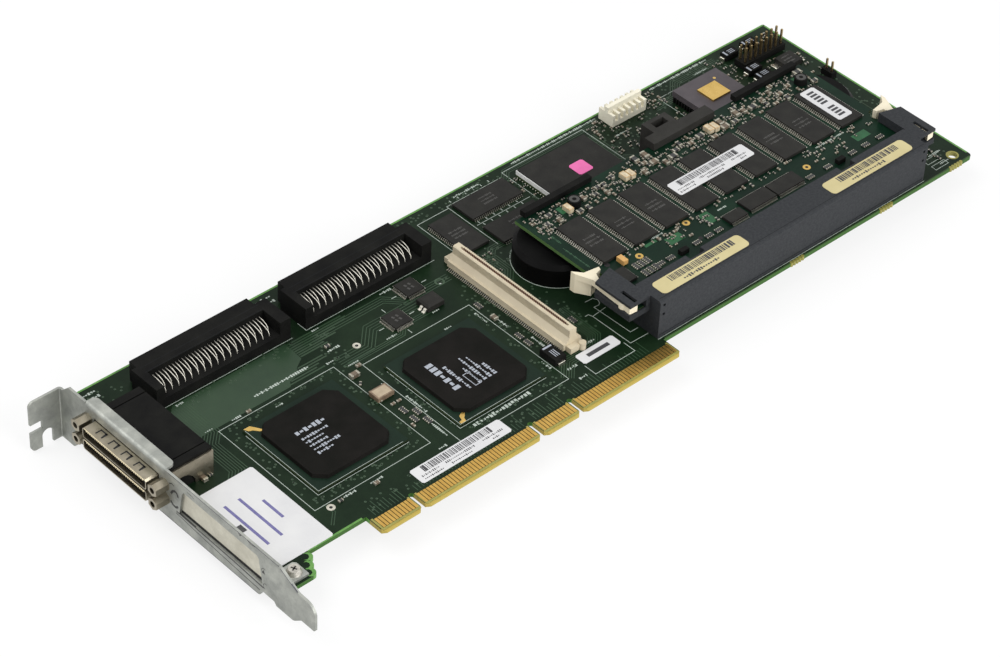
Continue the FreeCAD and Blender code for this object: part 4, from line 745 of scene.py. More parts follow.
def board_components():
    parts = Parts()
    for at in BOARD_ARRAYS:
        parts.array(at, 0.0, 90)
    for x, y, length, width, height, turn, brown in BOARD_CHIPS:
        parts.chip((x, y), length, width, height, 0.0, turn, brown)
    boxes = [span(node)[:4] for node in ("wire_header", "processor_body", "array_chip_base",
                                         "module_support", "pin_header_base", "voltage_regulator",
                                         "module_board")]
    crystal_side, battery = [BESIDE_CRYSTAL], [span("battery_pack_left")[:4]]
    for area, count, more in (
            ((163, 196, 84.5, 97), 46, []), ((188, 196, 97, 104), 14, []), ((163, 171, 97, 104), 12, []),
            ((219.6, 229, 76, 103), 34, []), ((235, 252, 75, 91), 18, crystal_side),
            ((244, 252, 96, 103), 8, []), ((238, 248, 14, 20), 6, []), ((86.5, 99, 66, 76), 6, battery),
            ((124.2, 126.8, 76.0, 98.0), 9, [])):
        parts.scatter(area, count, 0.0, boxes + more)
    parts.finish("board")


def module_components():
    board = span("module_board")
    base = board.z1
    parts = Parts()
    boxes = [span(node)[:4] for node in ("module_support", "module_clip_left", "module_clip_right")]
    for node in ("module_inductors", "module_capacitors", "module_logic_chips"):
        boxes += [box[:4] for box in separate_solids(node)]
    boxes += [(x - RING_CLEARANCE, x + RING_CLEARANCE, y - RING_CLEARANCE, y + RING_CLEARANCE)
              for x, y in MODULE_RINGS]
    parts.scatter((board.x0 + 3.0, board.x1 - 3.0, 61.0, 69.8), 40, base, boxes, BIGGER_CHIPS)
    parts.scatter((board.x0 + 2.0, board.x1 - 2.5, 60.6, 70.2), 230, base, boxes)
    parts.scatter((board.x0 + 1.5, board.x0 + 6.0, 58.0, 70.5), 16, base, boxes)
    for x in (122.6, 127.1, 139.1, 144.6, 149.1, 192.1, 200.6, 212.6, 219.1, 226.1):
        parts.array((x, 26.2), base)
    for x in (115.7, 118.1, 120.5):
        parts.array((x, 30.2), base, 90)
        parts.array((x, 26.0), base, 90)
    for area, count in (((129.7, 140.5, 29.8, 35.8), 14), ((197.5, 230.0, 28.5, 35.8), 22),
                        ((115.0, 230.0, 35.4, 36.8), 34), ((146.0, 153.0, 29.0, 35.0), 8)):
        parts.scatter(area, count, base, boxes)
    parts.finish("module")


# --------------------------------------------------------------- chip leads
ENDS = ((1, 0), (-1, 0))
FLANKS = ((0, 1), (0, -1))
LEAD_FOOT = 0.08
LEAD_THICK = 0.14
MEZZANINE_PITCH = 0.8
MEZZANINE_LEAD = ((3.4, 0.5), (4.3, 0.5), (4.5, 0.1), (5.1, 0.1))


def gull_lead(stock, at, out, top, foot, width, reach):
    """One bent lead leaving a chip's side in the direction out."""
    out = Vector((*out, 0.0))
    start = Vector((*at, top))
    drop = Vector((0.0, 0.0, foot - top))
    knee, heel = start + out * (reach * 0.3), start + out * (reach * 0.5) + drop
    toe = start + out * reach + drop
    stock.bar([start, knee, heel, toe], (-out.y, out.x, 0.0), width, LEAD_THICK)


def side_leads(stock, box, foot, pitch, lead, reach, sides):
    """Rows of leads from half the height of a chip, on the sides given by their directions."""
    x, y = box.middle
    for out_x, out_y in sides:
        count = int(((box.long if out_y else box.wide) - pitch * 0.6) / pitch)
        for along in spread(count, pitch):
            at = (x + out_x * box.long / 2, y + along) if out_x else (x + along, y + out_y * box.wide / 2)
            gull_lead(stock, at, (out_x, out_y), (box.z0 + box.z1) / 2, foot, lead, reach)


def long_sides(box):
    return FLANKS if box.long > box.wide else ENDS


def chip_leads():
    foot = span("module_board").z1 + LEAD_FOOT
    leads = Stock()
    for box in separate_solids("module_memory_chips"):
        side_leads(leads, box, foot, 0.8, 0.4, 1.25, ENDS)
    for box in separate_solids("module_logic_chips"):
        side_leads(leads, box, foot, 0.5, 0.22, 0.9, long_sides(box))
    piece("module_chip_leads", leads, "lead")
    leads = Stock()
    for box in separate_solids("board_memory_chips"):
        side_leads(leads, box, LEAD_FOOT, 0.8, 0.32, 0.8, long_sides(box))
    for box in separate_solids("flat_pack_chips"):
        side_leads(leads, box, LEAD_FOOT, 0.5, 0.24, 1.0, ENDS + FLANKS)
    box = span("mezzanine_connector")
    x, y = box.middle
    for along in spread(int((box.wide - 6) / MEZZANINE_PITCH), MEZZANINE_PITCH):
        for side in (-1, 1):
            path = [(x + side * out, y + along, z) for out, z in MEZZANINE_LEAD]
            leads.bar(path, (0, 1, 0), 0.32, 0.16)
    piece("board_chip_leads", leads, "lead")


def lay(stock, box, along, across, length, width, z0, z1, cut=0.0):
    """Block placed from a solid's middle, along and across its long side."""
    x, y = box.middle
    if box.long > box.wide:
        stock.block((x + along, y + across), length, width, z0, z1, 0.0, cut)
    else:
        stock.block((x + across, y - along), width, length, z0, z1, 0.0, cut)


def far_end_terminals():
    """Silver feet of the moulded capacitors, the regulator and the transistor, and the capacitors' print."""
    ends, marks, transistor = Stock(), Stock(), Stock()
    for box in separate_solids("capacitors") + separate_solids("large_capacitor"):
        half = max(box.long, box.wide) / 2
        wide = min(box.long, box.wide) * 0.62
        for side in (-1, 1):
            lay(ends, box, side * (half + 0.18), 0.0, 0.9, wide, 0.0, 1.25, 0.12)
        lay(marks, box, 0.8 - half, 0.0, 0.7, wide * 1.25, box.z1, box.z1 + 0.03)
        for row in (-0.75, 0.0, 0.75):
            lay(marks, box, 0.6, row, half * 0.9, 0.28, box.z1, box.z1 + 0.03)
    box = span("voltage_regulator")
    middle = box.middle[1]
    ends.block((box.x0 - 1.0, middle), 2.2, box.wide * 0.85, 0.0, 0.5, 0, 0.1)
    for y in (middle - 2.2, middle + 2.2):
        path = [(box.x1 + out, y, z) for out, z in ((-0.2, 1.2), (0.7, 1.1), (1.2, 0.2), (2.2, 0.15))]
        ends.bar(path, (0, 1, 0), 0.8, 0.35)
    box = span("power_transistor")
    for y in (box.y0 + 1.2, box.y0 + 2.9):
        path = [(box.x0 - out, y, z) for out, z in ((-0.2, 1.0), (0.5, 0.95), (0.8, 0.2), (1.5, 0.15))]
        transistor.bar(path, (0, 1, 0), 1.0, 0.3)
    piece("transistor_leads", transistor, "bright_tin")
    piece("capacitor_terminals", ends, "tin")
    piece("component_marks", marks, "chip_print")


# ------------------------------------------------------- ball-grid packages
BALL_PITCH = 1.27
SEAT_RIBS = 14
CHANNEL_POINTER = ((0.2, -0.2), (2.6, -0.25), (3.9, -2.2), (5.2, -4.5), (3.6, -4.0), (2.2, -2.3),
                   (1.0, -1.8))
BRIDGE_POINTER = ((0.6, 0.3), (2.6, 0.3), (3.0, 1.6), (4.8, 3.2), (4.8, 4.4), (2.4, 3.2), (1.8, 1.4),
                  (0.6, 1.2))


def ball_grid_trim():
    """Gold corner pointers, edge lines and plain print bars of the channel and bridge chips."""
    gold, lines, bars = Stock(), Stock(), Stock()
    channel, bridge = span("channel_chip_base"), span("bridge_chip_base")
    gold.prism([(channel.x0 + x, channel.y1 + y) for x, y in CHANNEL_POINTER], channel.z1, channel.z1 + 0.05)
    gold.prism([(bridge.x0 + x, bridge.y0 + y) for x, y in BRIDGE_POINTER], bridge.z1, bridge.z1 + 0.05)
    for left, right, low, high, _, top in (channel, bridge):
        lines.ribbon([(left + 0.25, high - 1.0), (left + 0.25, low + 0.25), (right - 2.0, low + 0.25)],
                     0.14, top, top + 0.03)
        lines.ribbon([(left - 0.35, high - 2.0), (left - 0.35, low - 0.35), (right, low - 0.35)],
                     0.2, 0.0, 0.04)
    cap = span("channel_chip_cap")
    left, high = cap.x0 + 7.4, cap.y1 - 10.6
    dashes(bars, left, high, 12.6, 2.0, cap.z1, lift=0.02)
    for row, length in enumerate((10.5, 8.0, 7.6, 10.8, 6.2)):
        dashes(bars, left, high - 3.0 - 1.9 * row, length, 1.25, cap.z1, lift=0.02)
    cap = span("bridge_chip_cap")
    left, low = cap.x0 + 7.2, cap.y0 + 7.0
    dashes(bars, left, low + 2.0, 16.0, 2.6, cap.z1, along_y=True, lift=0.02)
    for row, length in ((0, 13.5), (2, 9.0), (3, 13.0), (4, 12.0), (5, 7.0)):
        dashes(bars, left + 3.2 + 2.1 * row, low, length, 1.3, cap.z1, along_y=True, lift=0.02)
    bars.ribbon(rectangle(left + 5.2, left + 7.6, low, low + 6), 0.25, cap.z1, cap.z1 + 0.02, closed=True)
    piece("corner_pointers", gold, "gold")
    piece("package_edge_lines", lines, "silk")
    piece("package_print_bars", bars, "chip_print")


def package_rims():
    """Solder beside the array chip, ribs of the processor's seat and gold marks of its body."""
    solder, ribs, dots = Stock(), Stock(), Stock()
    box = span("array_chip_base")
    for i in range(int(box.wide / BALL_PITCH)):
        along = 0.8 + i * BALL_PITCH
        solder.block((box.x0 - 0.05, box.y0 + along), 0.3, 0.4, 0.0, 0.35, 0, 0.1)
        solder.block((box.x0 + along, box.y0 - 0.05), 0.4, 0.3, 0.0, 0.35, 0, 0.1)
    piece("array_chip_side_pads", solder, "lead")
    box = span("processor_seat")
    for i in range(SEAT_RIBS):
        share, top = i / (SEAT_RIBS - 1), box.z1 - 0.2
        ribs.block((box.x0 - 0.3, box.y0 + 0.8 + share * (box.wide - 1.6)), 0.6, 0.55, 0.0, top, 0, 0.1)
        ribs.block((box.x0 + 0.8 + share * (box.long - 1.6), box.y0 - 0.3), 0.55, 0.6, 0.0, top, 0, 0.1)
    piece("processor_seat_ribs", ribs, "black")
    box = span("processor_body")
    dots.disc((box.x1 - 4.6, box.y1 - 4.0), 0.55, box.z1, box.z1 + 0.05, 16)
    dots.prism([(box.x0 + x, box.y0 + y) for x, y in ((0.8, 2.2), (0.8, 0.8), (2.2, 0.8))],
               box.z1, box.z1 + 0.05)
    piece("processor_dot", dots, "gold")


# -------------------------------------------------------------------- labels
INK_LIFT = 0.02
# margins of the bars at the left, right and top, then the height of each row of print and its runs
BARCODE_LABELS = {
    "barcode_label": (4.0, 4.6, 0.5, ((2.5, ((1.6, 7), (11, 12), (26, 8.4))),
                                      (1.1, ((1.6, 8), (12.4, 9), (29, 3))))),
    "module_barcode_label": (3.6, 4.2, 0.6, ((2.6, ((1.0, 8), (11, 12.5), (26, 7.6))),
                                             (1.2, ((1.0, 7), (13.4, 7.8), (29, 3))))),
}
BARCODE_FOOT = 3.2
PAPER_CORNER = 1.6


def barcode(stock, x0, x1, y0, y1, z, widths=(0.16, 0.26, 0.38), guards=False):
    """Plain bars of uneven width, with a broad one near each end where guards is set."""
    middle, tall = (y0 + y1) / 2, y1 - y0
    place = x0
    while place < x1:
        width = dice.choice(widths)
        stock.block((place, middle), width, tall, z, z + INK_LIFT)
        place += width + dice.choice((0.18, 0.26, 0.36))
    if guards:
        for place in (x0 + 0.7, x1 - 0.7):
            stock.block((place, middle), 0.85, tall, z, z + 0.03)


def label_print():
    ink, blue = Stock(), Stock()
    x0, _, y0, _, _, top = span("slot_label")
    for x, start, length in ((9.0, 9.2, 20.6), (14.3, 9.6, 20.0), (19.4, 15.2, 9.4)):
        blue.block((x0 + x, y0 + start + length / 2), 1.0, length, top, top + INK_LIFT)
    ink.block((x0 + 6.4, y0 + 19.3), 3.0, 3.1, top, top + INK_LIFT)
    box = span("small_label")
    ink.block(box.middle, box.long * 0.58, 1.5, box.z1, box.z1 + INK_LIFT)
    for node, (left, right, upper, rows) in BARCODE_LABELS.items():
        box = span(node)
        barcode(ink, box.x0 + left, box.x1 - right, box.y1 - BARCODE_FOOT, box.y1 - upper, box.z1,
                guards=True)
        for row, runs in rows:
            for start, length in runs:
                dashes(ink, box.x0 + start, box.y0 + row, length, 0.85, box.z1, lift=INK_LIFT, fill=0.55)
    box = span("chip_label")
    step = (box.wide - 2.6) / 10
    for i in (0, 1, 2, 3, 5, 6, 7, 8, 9):
        ink.block((box.middle[0], box.y0 + 1.3 + (i + 0.5) * step), 3.1, step * 0.62,
                  box.z1, box.z1 + INK_LIFT)
    piece("label_ink", ink, "ink")
    piece("label_blue_bars", blue, "blue_ink")


def socket_label_papers():
    """The two labels a hair thinner, so that their ink stays in the solid's height."""
    papers, ink = Stock(), Stock()
    for box in separate_solids("socket_labels"):
        face = box.z1 - 0.03
        inner = rectangle(box.x0 + PAPER_CORNER, box.x1 - PAPER_CORNER,
                          box.y0 + PAPER_CORNER, box.y1 - PAPER_CORNER)
        papers.prism([point for at, start in zip(inner, (180, 270, 0, 90))
                      for point in arc(at, PAPER_CORNER, start, 18, 6)], box.z0, face)
        left = box.x0 + box.long * 0.17
        barcode(ink, left, box.x1 - box.long * 0.1, box.y1 - 3.3, box.y1 - 0.6, face,
                widths=(0.26, 0.4, 0.62))
        dashes(ink, left + 3.6, box.y0 + 1.7, box.long * 0.42, 1.3, face, lift=INK_LIFT, fill=0.66)
    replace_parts(piece("socket_label_papers", papers, "cream_paper"), "socket_labels")
    piece("socket_label_ink", ink, "ink")


# --------------------------------------------------------------- connectors
# reach back from the housing and height of a wire tail's bends
LONG_TAIL = ((0.0, 6.45), (-2.6, 6.3), (-4.8, 5.85), (-6.0, 5.35), (-6.5, 4.7), (-6.6, 3.5))
SHORT_TAIL = ((0.0, 6.45), (-1.9, 6.3), (-3.4, 5.75), (-4.2, 5.05), (-4.5, 4.3), (-4.55, 3.5))
INTERNAL_CONNECTORS = ("internal_connector_a", "internal_connector_b")
EXTERNAL_WAYS = 34
EXTERNAL_PITCH = 0.82
SPRING_PITCH = 6.07
OUTER_SHELLS_Z = 8.0
FACE_X = -57.07
FACE_TOP = 13.2
FACE_FOOT = -5.2


def internal_tails():
    """Bent wire tails in the wells of the two internal connectors."""
    for name in INTERNAL_CONNECTORS:
        tails = Stock()
        for number, box in enumerate(separate_solids(name + "_contacts")):
            path = [(box.middle[0], box.y1 + y, z) for y, z in (LONG_TAIL, SHORT_TAIL)[number % 2]]
            tails.tube(path, (1, 0, 0), 0.15)
        wires = piece(name + "_tails", tails, "bright_tin", smooth=True)
        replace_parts(wires, name + "_contacts")


def external_contacts():
    """Contact rows, contact tips and lip strips in painted highlight, top skin and painted shade in the
    spring cuts of the external shells.
    """
    pins, tips, cuts, skins, lips = Stock(), Stock(), Stock(), Stock(), Stock()
    mouths = separate_solids("external_connector_shells")
    for box, mouth in zip(separate_solids("external_connector_inserts"), mouths):
        height = (box.z0 + box.z1) / 2
        front = mouth.x0 + 0.12
        for along in spread(EXTERNAL_WAYS, EXTERNAL_PITCH):
            y = box.middle[1] + along
            for level in (height - 0.72, height + 0.72):
                pins.block((box.x0 + 2.2, y), 3.6, 0.42, level - 0.08, level + 0.08)
            # contact tips, coloured with the painted highlight
            tips.block(((front + box.x0) / 2, y), box.x0 - front, 0.4, box.z1 - 0.72, box.z1 - 0.1)
    piece("external_contact_rows", pins, "gold")
    piece("external_contact_tips", tips, "painted_highlight")
    back = FACE_X - 0.13
    for box in mouths:
        x, top, middle = box.x0, box.z1, box.middle[1]
        # painted highlight along the front of each shell's lip
        lips.wall([(box.y0 + 0.7, top - 0.4), (box.y1 - 0.7, top - 0.4),
                   (box.y1 - 0.9, top - 0.02), (box.y0 + 0.9, top - 0.02)], x - 0.03, x + 0.05)
        if top < OUTER_SHELLS_Z:
            continue
        skins.block(((x + back) / 2 + 0.05, middle), back - x - 0.2, box.wide - 1.4, top - 0.05, top + 0.03)
        for along in spread(4, SPRING_PITCH):
            y = middle + along
            # painted shade filling each spring cut-out
            cuts.block((x + 2.35, y + 1.3), 2.3, 0.5, top, top + 0.05)
            cuts.prism([(x + 1.2, y - 1.2), (x + 1.2, y - 1.75), (x + 3.7, y - 1.75), (x + 3.7, y - 0.75)],
                       top, top + 0.05)
            cuts.block((x + 3.45, y), 0.5, 3.1, top, top + 0.05)
    piece("spring_cut_shadows", cuts, "hole")
    piece("shell_top_skin", skins, "nickel")
    piece("shell_lip_highlights", lips, "painted_highlight")


def mezzanine_contacts():
    """Contacts and ribs in the slot of the ivory connector."""
    contacts, ribs = Stock(), Stock()
    box = span("mezzanine_connector")
    x = box.middle[0]
    for along in spread(int((box.wide - 12) / MEZZANINE_PITCH), MEZZANINE_PITCH):
        y = box.middle[1] + 0.8 + along
        for side in (-1, 1):
            contacts.block((x + side * 0.42, y), 0.3, 0.44, box.z1 - 2.4, box.z1 + 0.02)
            ribs.block((x + side * 1.42, y), 0.22, 0.34, box.z1 - 2.6, box.z1 - 0.3)
    piece("mezzanine_contacts", contacts, "brown_rib")
    piece("mezzanine_ribs", ribs, "ivory")


def board_edge_trim():
    """Bare laminate under the contacts and at the ends of their rows."""
    bare = Stock()
    pads = span("edge_contacts_component_side")
    for left, right in ((pads.x0 - 0.9, -1.1), (1.1, 47.1), (49.4, 63.6), (65.9, pads.x1 + 0.4)):
        bare.prism(rectangle(left, right, 0.75, 1.55), 0.0, 0.02)
        for inner, outer in ((left, left + 0.75), (right - 0.75, right)):
            bare.prism(rectangle(inner, outer, 1.55, 6.6), 0.0, 0.012)
    piece("edge_bare_strip", bare, "laminate")


# path in Y and Z, and width
FACE_MARKS_AND_SHADE = (
    ([(48.4, 5.6), (47.5, 7.2), (46.3, 7.9), (45.3, 7.3), (45.1, 6.2)], 0.8),
    ([(48.6, 2.6), (47.6, 1.6), (46.2, 1.4), (45.2, 2.4)], 0.8),
    ([(49.2, 9.2), (47.8, 10.0), (46.8, 9.6)], 0.35),
    ([(40.6, 11.7), (37.9, 11.7), (37.7, 11.1)], 0.16),
    # painted shade: two dark lines along the cover plate's lower edge
    ([(46.0, 0.1), (34.0, -0.1), (20.0, -0.35), (5.9, -0.9)], 0.5),
    ([(46.2, -0.7), (32.8, -1.75), (19.0, -2.5), (7.6, -3.0)], 0.3),
    ([(17.0, FACE_TOP - 0.2), (16.4, FACE_TOP - 0.9), (15.8, FACE_TOP - 0.2)], 0.3),
    ([(13.0, FACE_TOP - 0.2), (11.4, FACE_TOP - 0.7), (9.4, FACE_TOP - 0.25)], 0.25),
)
CUT_EDGES = (
    ([(49.6, FACE_TOP - 0.12), (-1.0, FACE_TOP - 0.12)], 0.22),
    ([(-1.6, FACE_TOP - 0.6), (-9.2, 8.9)], 0.22),
    ([(95.0, -7.9), (93.6, -5.6), (8.6, FACE_FOOT + 0.12)], 0.2),
)
DIMPLE = 1.15


def bracket_marks():
    """Lance cuts, round dimples and scuffs of the bracket's outer face, painted shade lines along the cover
    plate's lower edge, and its dark cut edges.
    """
    marks, edges, shade = Stock(), Stock(), Stock()
    skin = (FACE_X - 0.02, FACE_X + 0.3)
    for path, width in FACE_MARKS_AND_SHADE:
        marks.wall_line(path, width, *skin)
    marks.wall([(6.6, 5.0), (5.2, 5.0), (5.9, 6.4)], *skin)
    for at, start in (((5.6, 5.9), -60), ((4.9, 0.2), -70)):
        marks.wall_line(arc(at, DIMPLE, start, 20, 10), 0.16, *skin)
    piece("bracket_face_marks", marks, "marks_and_shade")
    for path, width in CUT_EDGES:
        edges.wall_line(path, width, *skin)
    piece("bracket_cut_edges", edges, "cut_edge")
    cover = span("slot_cover_plate")
    shade.wall(rectangle(cover.y0 + 0.3, cover.y1 - 0.3, cover.z0 - 1.2, cover.z0 + 0.25),
               cover.x0 - 0.03, cover.x1)
    piece("cover_foot_shadow", shade, "hole")


FOOT_EDGE_Y = 8.25
RIM_WIDTH = 0.7
RIM_LIFT = 0.025
DIM_RIM_FROM_X = 107.2


def board_rim():
    """Bare green laminate along the board's outline, with the waves of the break-away tabs."""
    rim, dim, waves, cores, tabs = Stock(), Stock(), Stock(), Stock(), Stock()
    board = span("main_board")
    far, upper = board.x1, board.y1
    rim.block((board.middle[0], upper - RIM_WIDTH / 2), board.long - 1.0, RIM_WIDTH, 0.0, RIM_LIFT)
    rim.block((far - RIM_WIDTH / 2, (9.6 + upper) / 2), RIM_WIDTH, upper - 11.4, 0.0, RIM_LIFT)
    rim.block((-28.0, FOOT_EDGE_Y + RIM_WIDTH / 2), 21.0, RIM_WIDTH, 0.0, RIM_LIFT)
    dim.block(((DIM_RIM_FROM_X + far) / 2, FOOT_EDGE_Y + 0.25), far - DIM_RIM_FROM_X - 1.6, 0.5,
              0.0, RIM_LIFT)
    for i, (x, y) in enumerate(((-43.3, 1.4), (-41.9, 4.1), (-39.9, 6.9))):
        waves.disc((x, y), 1.7, RING_FOOT + 0.01 * i, 0.02 + 0.005 * i, 24)
        cores.disc((x - 0.65, y + 0.4), 1.32, 0.0, 0.04 + 0.005 * i, 8)
    for start in (165.0, 208.0, 243.0):
        for i in range(5):
            tabs.disc((start + 1.0 + 1.3 * i, 8.45), 0.62, -1.5, 0.05, 12)
    piece("board_rim", rim, "rim")
    piece("board_dim_rim", dim, "dim_rim")
    piece("corner_wave_cores", cores, "board")
    piece("corner_break_waves", waves, "rim")
    piece("tab_break_waves", tabs, "laminate")


def housing_lines():
    """Painted shade lines for the shallow grooves along the tops of the two internal connectors."""
    lines = Stock()
    for node in INTERNAL_CONNECTORS:
        box = span(node)
        for y in (95.4, 92.9):
            lines.block((box.middle[0] - 0.6, y), box.long - 6.0, 0.14, box.z1 - 0.05, box.z1 + 0.012)
    piece("housing_lines", lines, "groove_shade")


def socket_lines():
    """Painted shade lines along the socket's top and along the ledge at its foot, and the blocks over the
    module's edge.
    """
    lines, stops = Stock(), Stock()
    box = span("memory_socket")
    middle, top, rest = box.middle[0], box.z1, span("module_board").z1
    lines.block((middle, box.y0 + 1.5), box.long - 19.0, 0.16, top - 0.1, top + 0.01)
    lines.block((middle, box.y0 + 0.02), box.long - 18.6, 0.1, 1.15, 1.4)
    piece("socket_lines", lines, "groove_shade")
    for x in (132.2, 205.8):
        stops.block((x, 25.5), 3.4, 1.8, rest, rest + 1.8, 0.0, 0.1)
    piece("module_dark_blocks", stops, "black")


def screw_recess():
    """Cross recess in the bracket screw, filled with painted shade."""
    cross = Stock()
    box = span("bracket_screw")
    for length, width in ((2.1, 0.5), (0.5, 2.1)):
        cross.block(box.middle, length, width, box.z1 - 0.2, box.z1 + 0.01, 25)
    piece("screw_recess", cross, "hole")


# ------------------------------------------------------------ cache module
MARK_LIFT = 0.012
# middle, length and width
BRIGHT_MASK = ((135.2, 32.4, 6.4, 3.6), (127.4, 35.6, 5.0, 1.2), (222.0, 31.0, 6.4, 3.4),
               (151.0, 33.0, 4.0, 5.6), (119.0, 66.2, 6.0, 3.6), (229.5, 66.0, 5.6, 4.0))


def module_face():
    """Gold rings, holes filled with painted shade, bright mask areas, print and capacitor jackets of the
    module.
    """
    top = span("module_board").z1
    gold, dark, patches, bars, pale, caps = Stock(), Stock(), Stock(), Stock(), Stock(), Stock()
    for at in MODULE_RINGS:
        gold.ring(at, 0.55, 1.35, top, top + 0.06, 24)
        # painted shade in the holes, here and in the two discs below
        dark.disc(at, 0.55, top, top + 0.04, 16)
    dark.disc((109.2, 36.8), 1.0, top, top + 0.05, 20)
    dark.disc((141.8, 27.2), 0.8, top, top + 0.04, 16)
    for x, y, length, width in BRIGHT_MASK:
        patches.block((x, y), length, width, top, top + MARK_LIFT)
    for x, y, length in ((129.0, 37.0, 5.6), (205.0, 35.9, 14.0), (156.0, 33.6, 4.0)):
        dashes(bars, x, y, length, 0.8, top)
    for x, y, length in ((104.2, 39.5, 13.0), (105.4, 54.0, 5.0)):
        dashes(pale, x, y, length, 0.8, top, along_y=True, lift=0.02)
    for box in separate_solids("module_capacitors")[1:]:
        caps.block(box.middle, box.long + 0.04, box.wide + 0.04, box.z0, box.z1 + 0.02, 0.0, 0.15)
    piece("module_gold_rings", gold, "gold")
    piece("module_dark_holes", dark, "hole")
    piece("module_bright_mask", patches, "patch")
    piece("module_print", bars, "silk")
    piece("module_pale_print", pale, "faint_green")
    piece("cream_capacitors", caps, "cream_cap")


def faint_marks():
    """Faint print on the dark chips, and the lid plate of the crystal."""
    module, board, lid = Stock(), Stock(), Stock()
    for box in separate_solids("module_inductors"):
        module.ring(box.middle, 0.75, 1.75, box.z1, box.z1 + 0.02, 24)
    for box in separate_solids("module_memory_chips"):
        for row, length in ((8.6, 6.2), (10.4, 7.0), (12.2, 5.6)):
            dashes(module, box.middle[0] - length / 2, box.y0 + row, length, 0.9, box.z1, lift=MARK_LIFT)
    for box in separate_solids("board_memory_chips") + separate_solids("voltage_regulator"):
        x, y = box.middle
        length = min(6.0, box.long * 0.6)
        for row in (-1.6, 0.0, 1.6):
            dashes(board, x - length / 2, y + row, length, 0.8, box.z1, lift=MARK_LIFT)
    for box in separate_solids("flat_pack_chips"):
        x, y = box.middle
        for row in (-0.8, 0.9):
            for side in (-0.8, 0.8):
                board.block((x + side, y + row), 0.7, 1.1, box.z1, box.z1 + MARK_LIFT, 20)
    box = span("crystal_can")
    lid.block(box.middle, box.long - 1.1, box.wide - 1.0, box.z1, box.z1 + 0.05, 0.0, 0.03)
    piece("module_faint_marks", module, "faint")
    piece("board_faint_marks", board, "faint")
    piece("crystal_lid_plate", lid, "crystal_lid")


# ------------------------------------------------------------- solder side
SOCKET_JOINTS = 84
HEADER_JOINTS = 6
# path and number of tracks
UNDER_TRACKS = (
    ([(-30, 20), (10, 20), (30, 40), (70, 40)], 7), ([(75, 12), (75, 60), (95, 80)], 6),
    ([(110, 40), (150, 40), (180, 70), (240, 70)], 7), ([(-30, 60), (20, 60), (40, 78)], 5),
    ([(130, 14), (130, 30), (150, 50), (150, 60)], 4),
)


def underside(places):
    """Joints of the through-hole parts, hole rims and a few tracks."""
    low = span("main_board").z0
    joints, rims, tracks = Stock(), Stock(), Stock()
    for node in INTERNAL_CONNECTORS:
        for number, box in enumerate(separate_solids(node + "_contacts")):
            for row in (84.9, 88.3, 91.7):
                joints.disc((box.middle[0], row + 1.1 * (number % 2)), 0.42, low - 0.35, low, 8)
    box = span("external_connector_housing")
    for along in spread(EXTERNAL_WAYS, EXTERNAL_PITCH):
        for row in range(4):
            joints.disc((box.x1 - 3.0 - 2.2 * row, box.middle[1] + along), 0.28, low - 0.3, low, 8)
    box = span("memory_socket")
    for i in range(SOCKET_JOINTS):
        x = box.x0 + 14.0 + i * (box.long - 28.0) / (SOCKET_JOINTS - 1)
        for row in (2.4, 5.4):
            joints.disc((x, box.y0 + row + 1.3 * (i % 2)), 0.4, low - 0.35, low, 8)
    box = span("wire_header")
    for i in range(HEADER_JOINTS):
        x = box.x0 + 1.6 + i * (box.long - 3.2) / (HEADER_JOINTS - 1)
        joints.disc((x, box.middle[1]), 0.7, low - 0.5, low, 12)
    for at in places:
        rims.ring(at, VIA_HOLE, VIA_RIM, low - VIA_LIFT, low, 8)
    for path, count in UNDER_TRACKS:
        bundle(tracks, path, count, 1.0, 0.3, base=low - TRACK_LIFT)
    piece("solder_joints", joints, "tin")
    piece("solder_side_rims", rims, "via")
    piece("solder_side_tracks", tracks, "copper")


# ----------------------------------------------------------- stage and camera
CAMERA_AIM = (71.3418, 45.2336, 0.0)
CAMERA_DISTANCE = 1011.272
CAMERA_RIGHT = (0.735139, -0.676798, 0.038940)
CAMERA_DOWN = (-0.421210, -0.501017, -0.756019)
CAMERA_LENS = 115.722
WHITE = (1.0, 1.0, 1.0, 1.0)
FLOOR_HALF = 4.0
FLOOR_DROP = 0.0003
FLOOR_GREY = (0.88, 0.88, 0.88, 1.0)


def place_in_scene(name, data):
    thing = bpy.data.objects.new(name, data)
    bpy.context.scene.collection.objects.link(thing)
    return thing


def set_camera():
    right, down = Vector(CAMERA_RIGHT).normalized(), Vector(CAMERA_DOWN).normalized()
    forward = right.cross(down)
    data = bpy.data.cameras.new("camera")
    data.lens = CAMERA_LENS
    data.sensor_width = 36.0
    data.clip_start = 0.01
    data.clip_end = 50.0
    camera = place_in_scene("camera", data)
    place = DATUM + Vector(CAMERA_AIM) * MM - forward * (CAMERA_DISTANCE * MM)
    turn = Matrix((right, -down, -forward)).transposed()
    camera.matrix_world = Matrix.Translation(place) @ turn.to_4x4()
    bpy.context.scene.camera = camera


def area_lamp(name, place, size, watts):
    """Square lamp that looks at the frame's origin."""
    data = bpy.data.lights.new(name, "AREA")
    data.size = size
    data.energy = watts
    lamp = place_in_scene(name, data)
    lamp.location = place
    lamp.rotation_euler = (-Vector(place)).to_track_quat("-Z", "Y").to_euler()


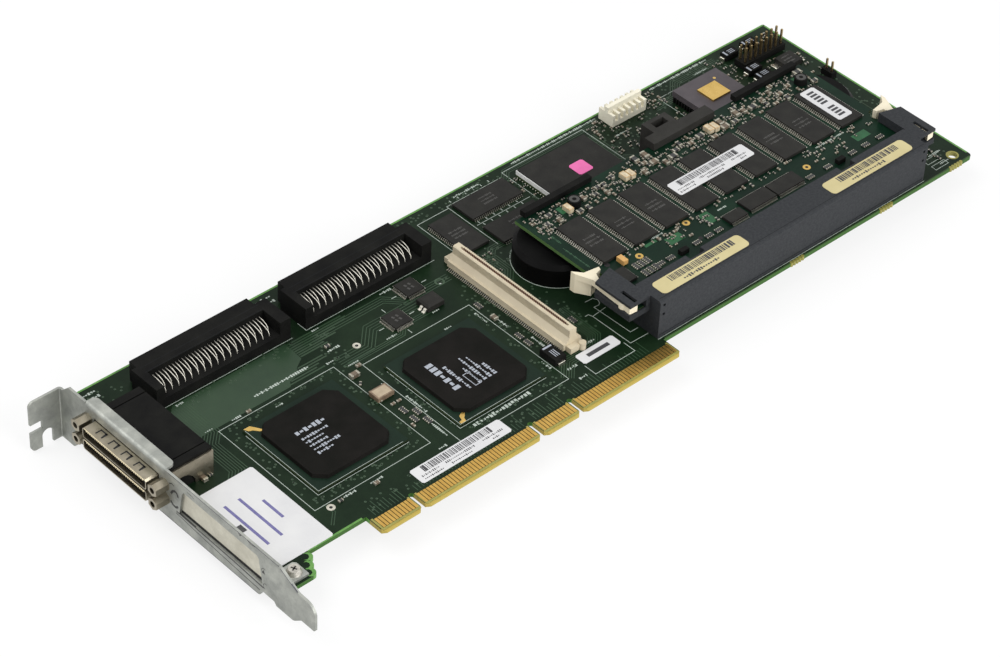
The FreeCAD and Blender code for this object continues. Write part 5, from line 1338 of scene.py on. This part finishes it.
def white_where_seen(tree, shader, output, glow, share):
    """Mixes plain white in for camera, glossy and transmission rays."""
    rays = tree.nodes.new("ShaderNodeLightPath").outputs
    seen = calculate(tree, "MAXIMUM", rays["Is Camera Ray"], rays["Is Glossy Ray"])
    seen = calculate(tree, "MAXIMUM", seen, rays["Is Transmission Ray"])
    white = add(tree, glow, {"Color": WHITE, "Strength": 1.0})
    blend = add(tree, "MixShader", {0: calculate(tree, "MULTIPLY", seen, share),
                                    1: tree.nodes[shader].outputs[0], 2: white.outputs[0]})
    wire(tree, tree.nodes[output], {"Surface": blend.outputs[0]})


def set_stage():
    scene = bpy.context.scene
    scene.world = bpy.data.worlds.new("studio")
    scene.world.use_nodes = True
    tree = scene.world.node_tree
    wire(tree, tree.nodes["Background"], {"Color": WHITE, "Strength": 0.55})
    white_where_seen(tree, "Background", "World Output", "Background", 1.0)

    mat = bpy.data.materials.new("floor_white")
    mat.use_nodes = True
    tree = mat.node_tree
    wire(tree, tree.nodes["Principled BSDF"], {"Base Color": FLOOR_GREY, "Roughness": 0.9})
    white_where_seen(tree, "Principled BSDF", "Material Output", "Emission", 0.8)
    floor = bpy.data.meshes.new("floor")
    level = cad_low.z - FLOOR_DROP
    corners = [(a * FLOOR_HALF, b * FLOOR_HALF, level) for a, b in CORNERS]
    floor.from_pydata(corners, [], [(0, 1, 2, 3)])
    floor.materials.append(mat)
    place_in_scene("floor", floor)
    area_lamp("key", (-0.55, 0.35, 1.0), 0.9, 7.0)
    area_lamp("fill", (0.1, -1.0, 0.6), 0.8, 11.5)
    scene.view_settings.view_transform = "Standard"


dress_nodes()
board_tracks()
plated_holes = via_places()
board_vias(plated_holes)
board_print()
board_edge_trim()
board_components()
module_components()
chip_leads()
far_end_terminals()
ball_grid_trim()
package_rims()
label_print()
socket_label_papers()
internal_tails()
external_contacts()
mezzanine_contacts()
bracket_marks()
board_rim()
socket_lines()
housing_lines()
screw_recess()
underside(plated_holes)
module_face()
faint_marks()
set_stage()
set_camera()
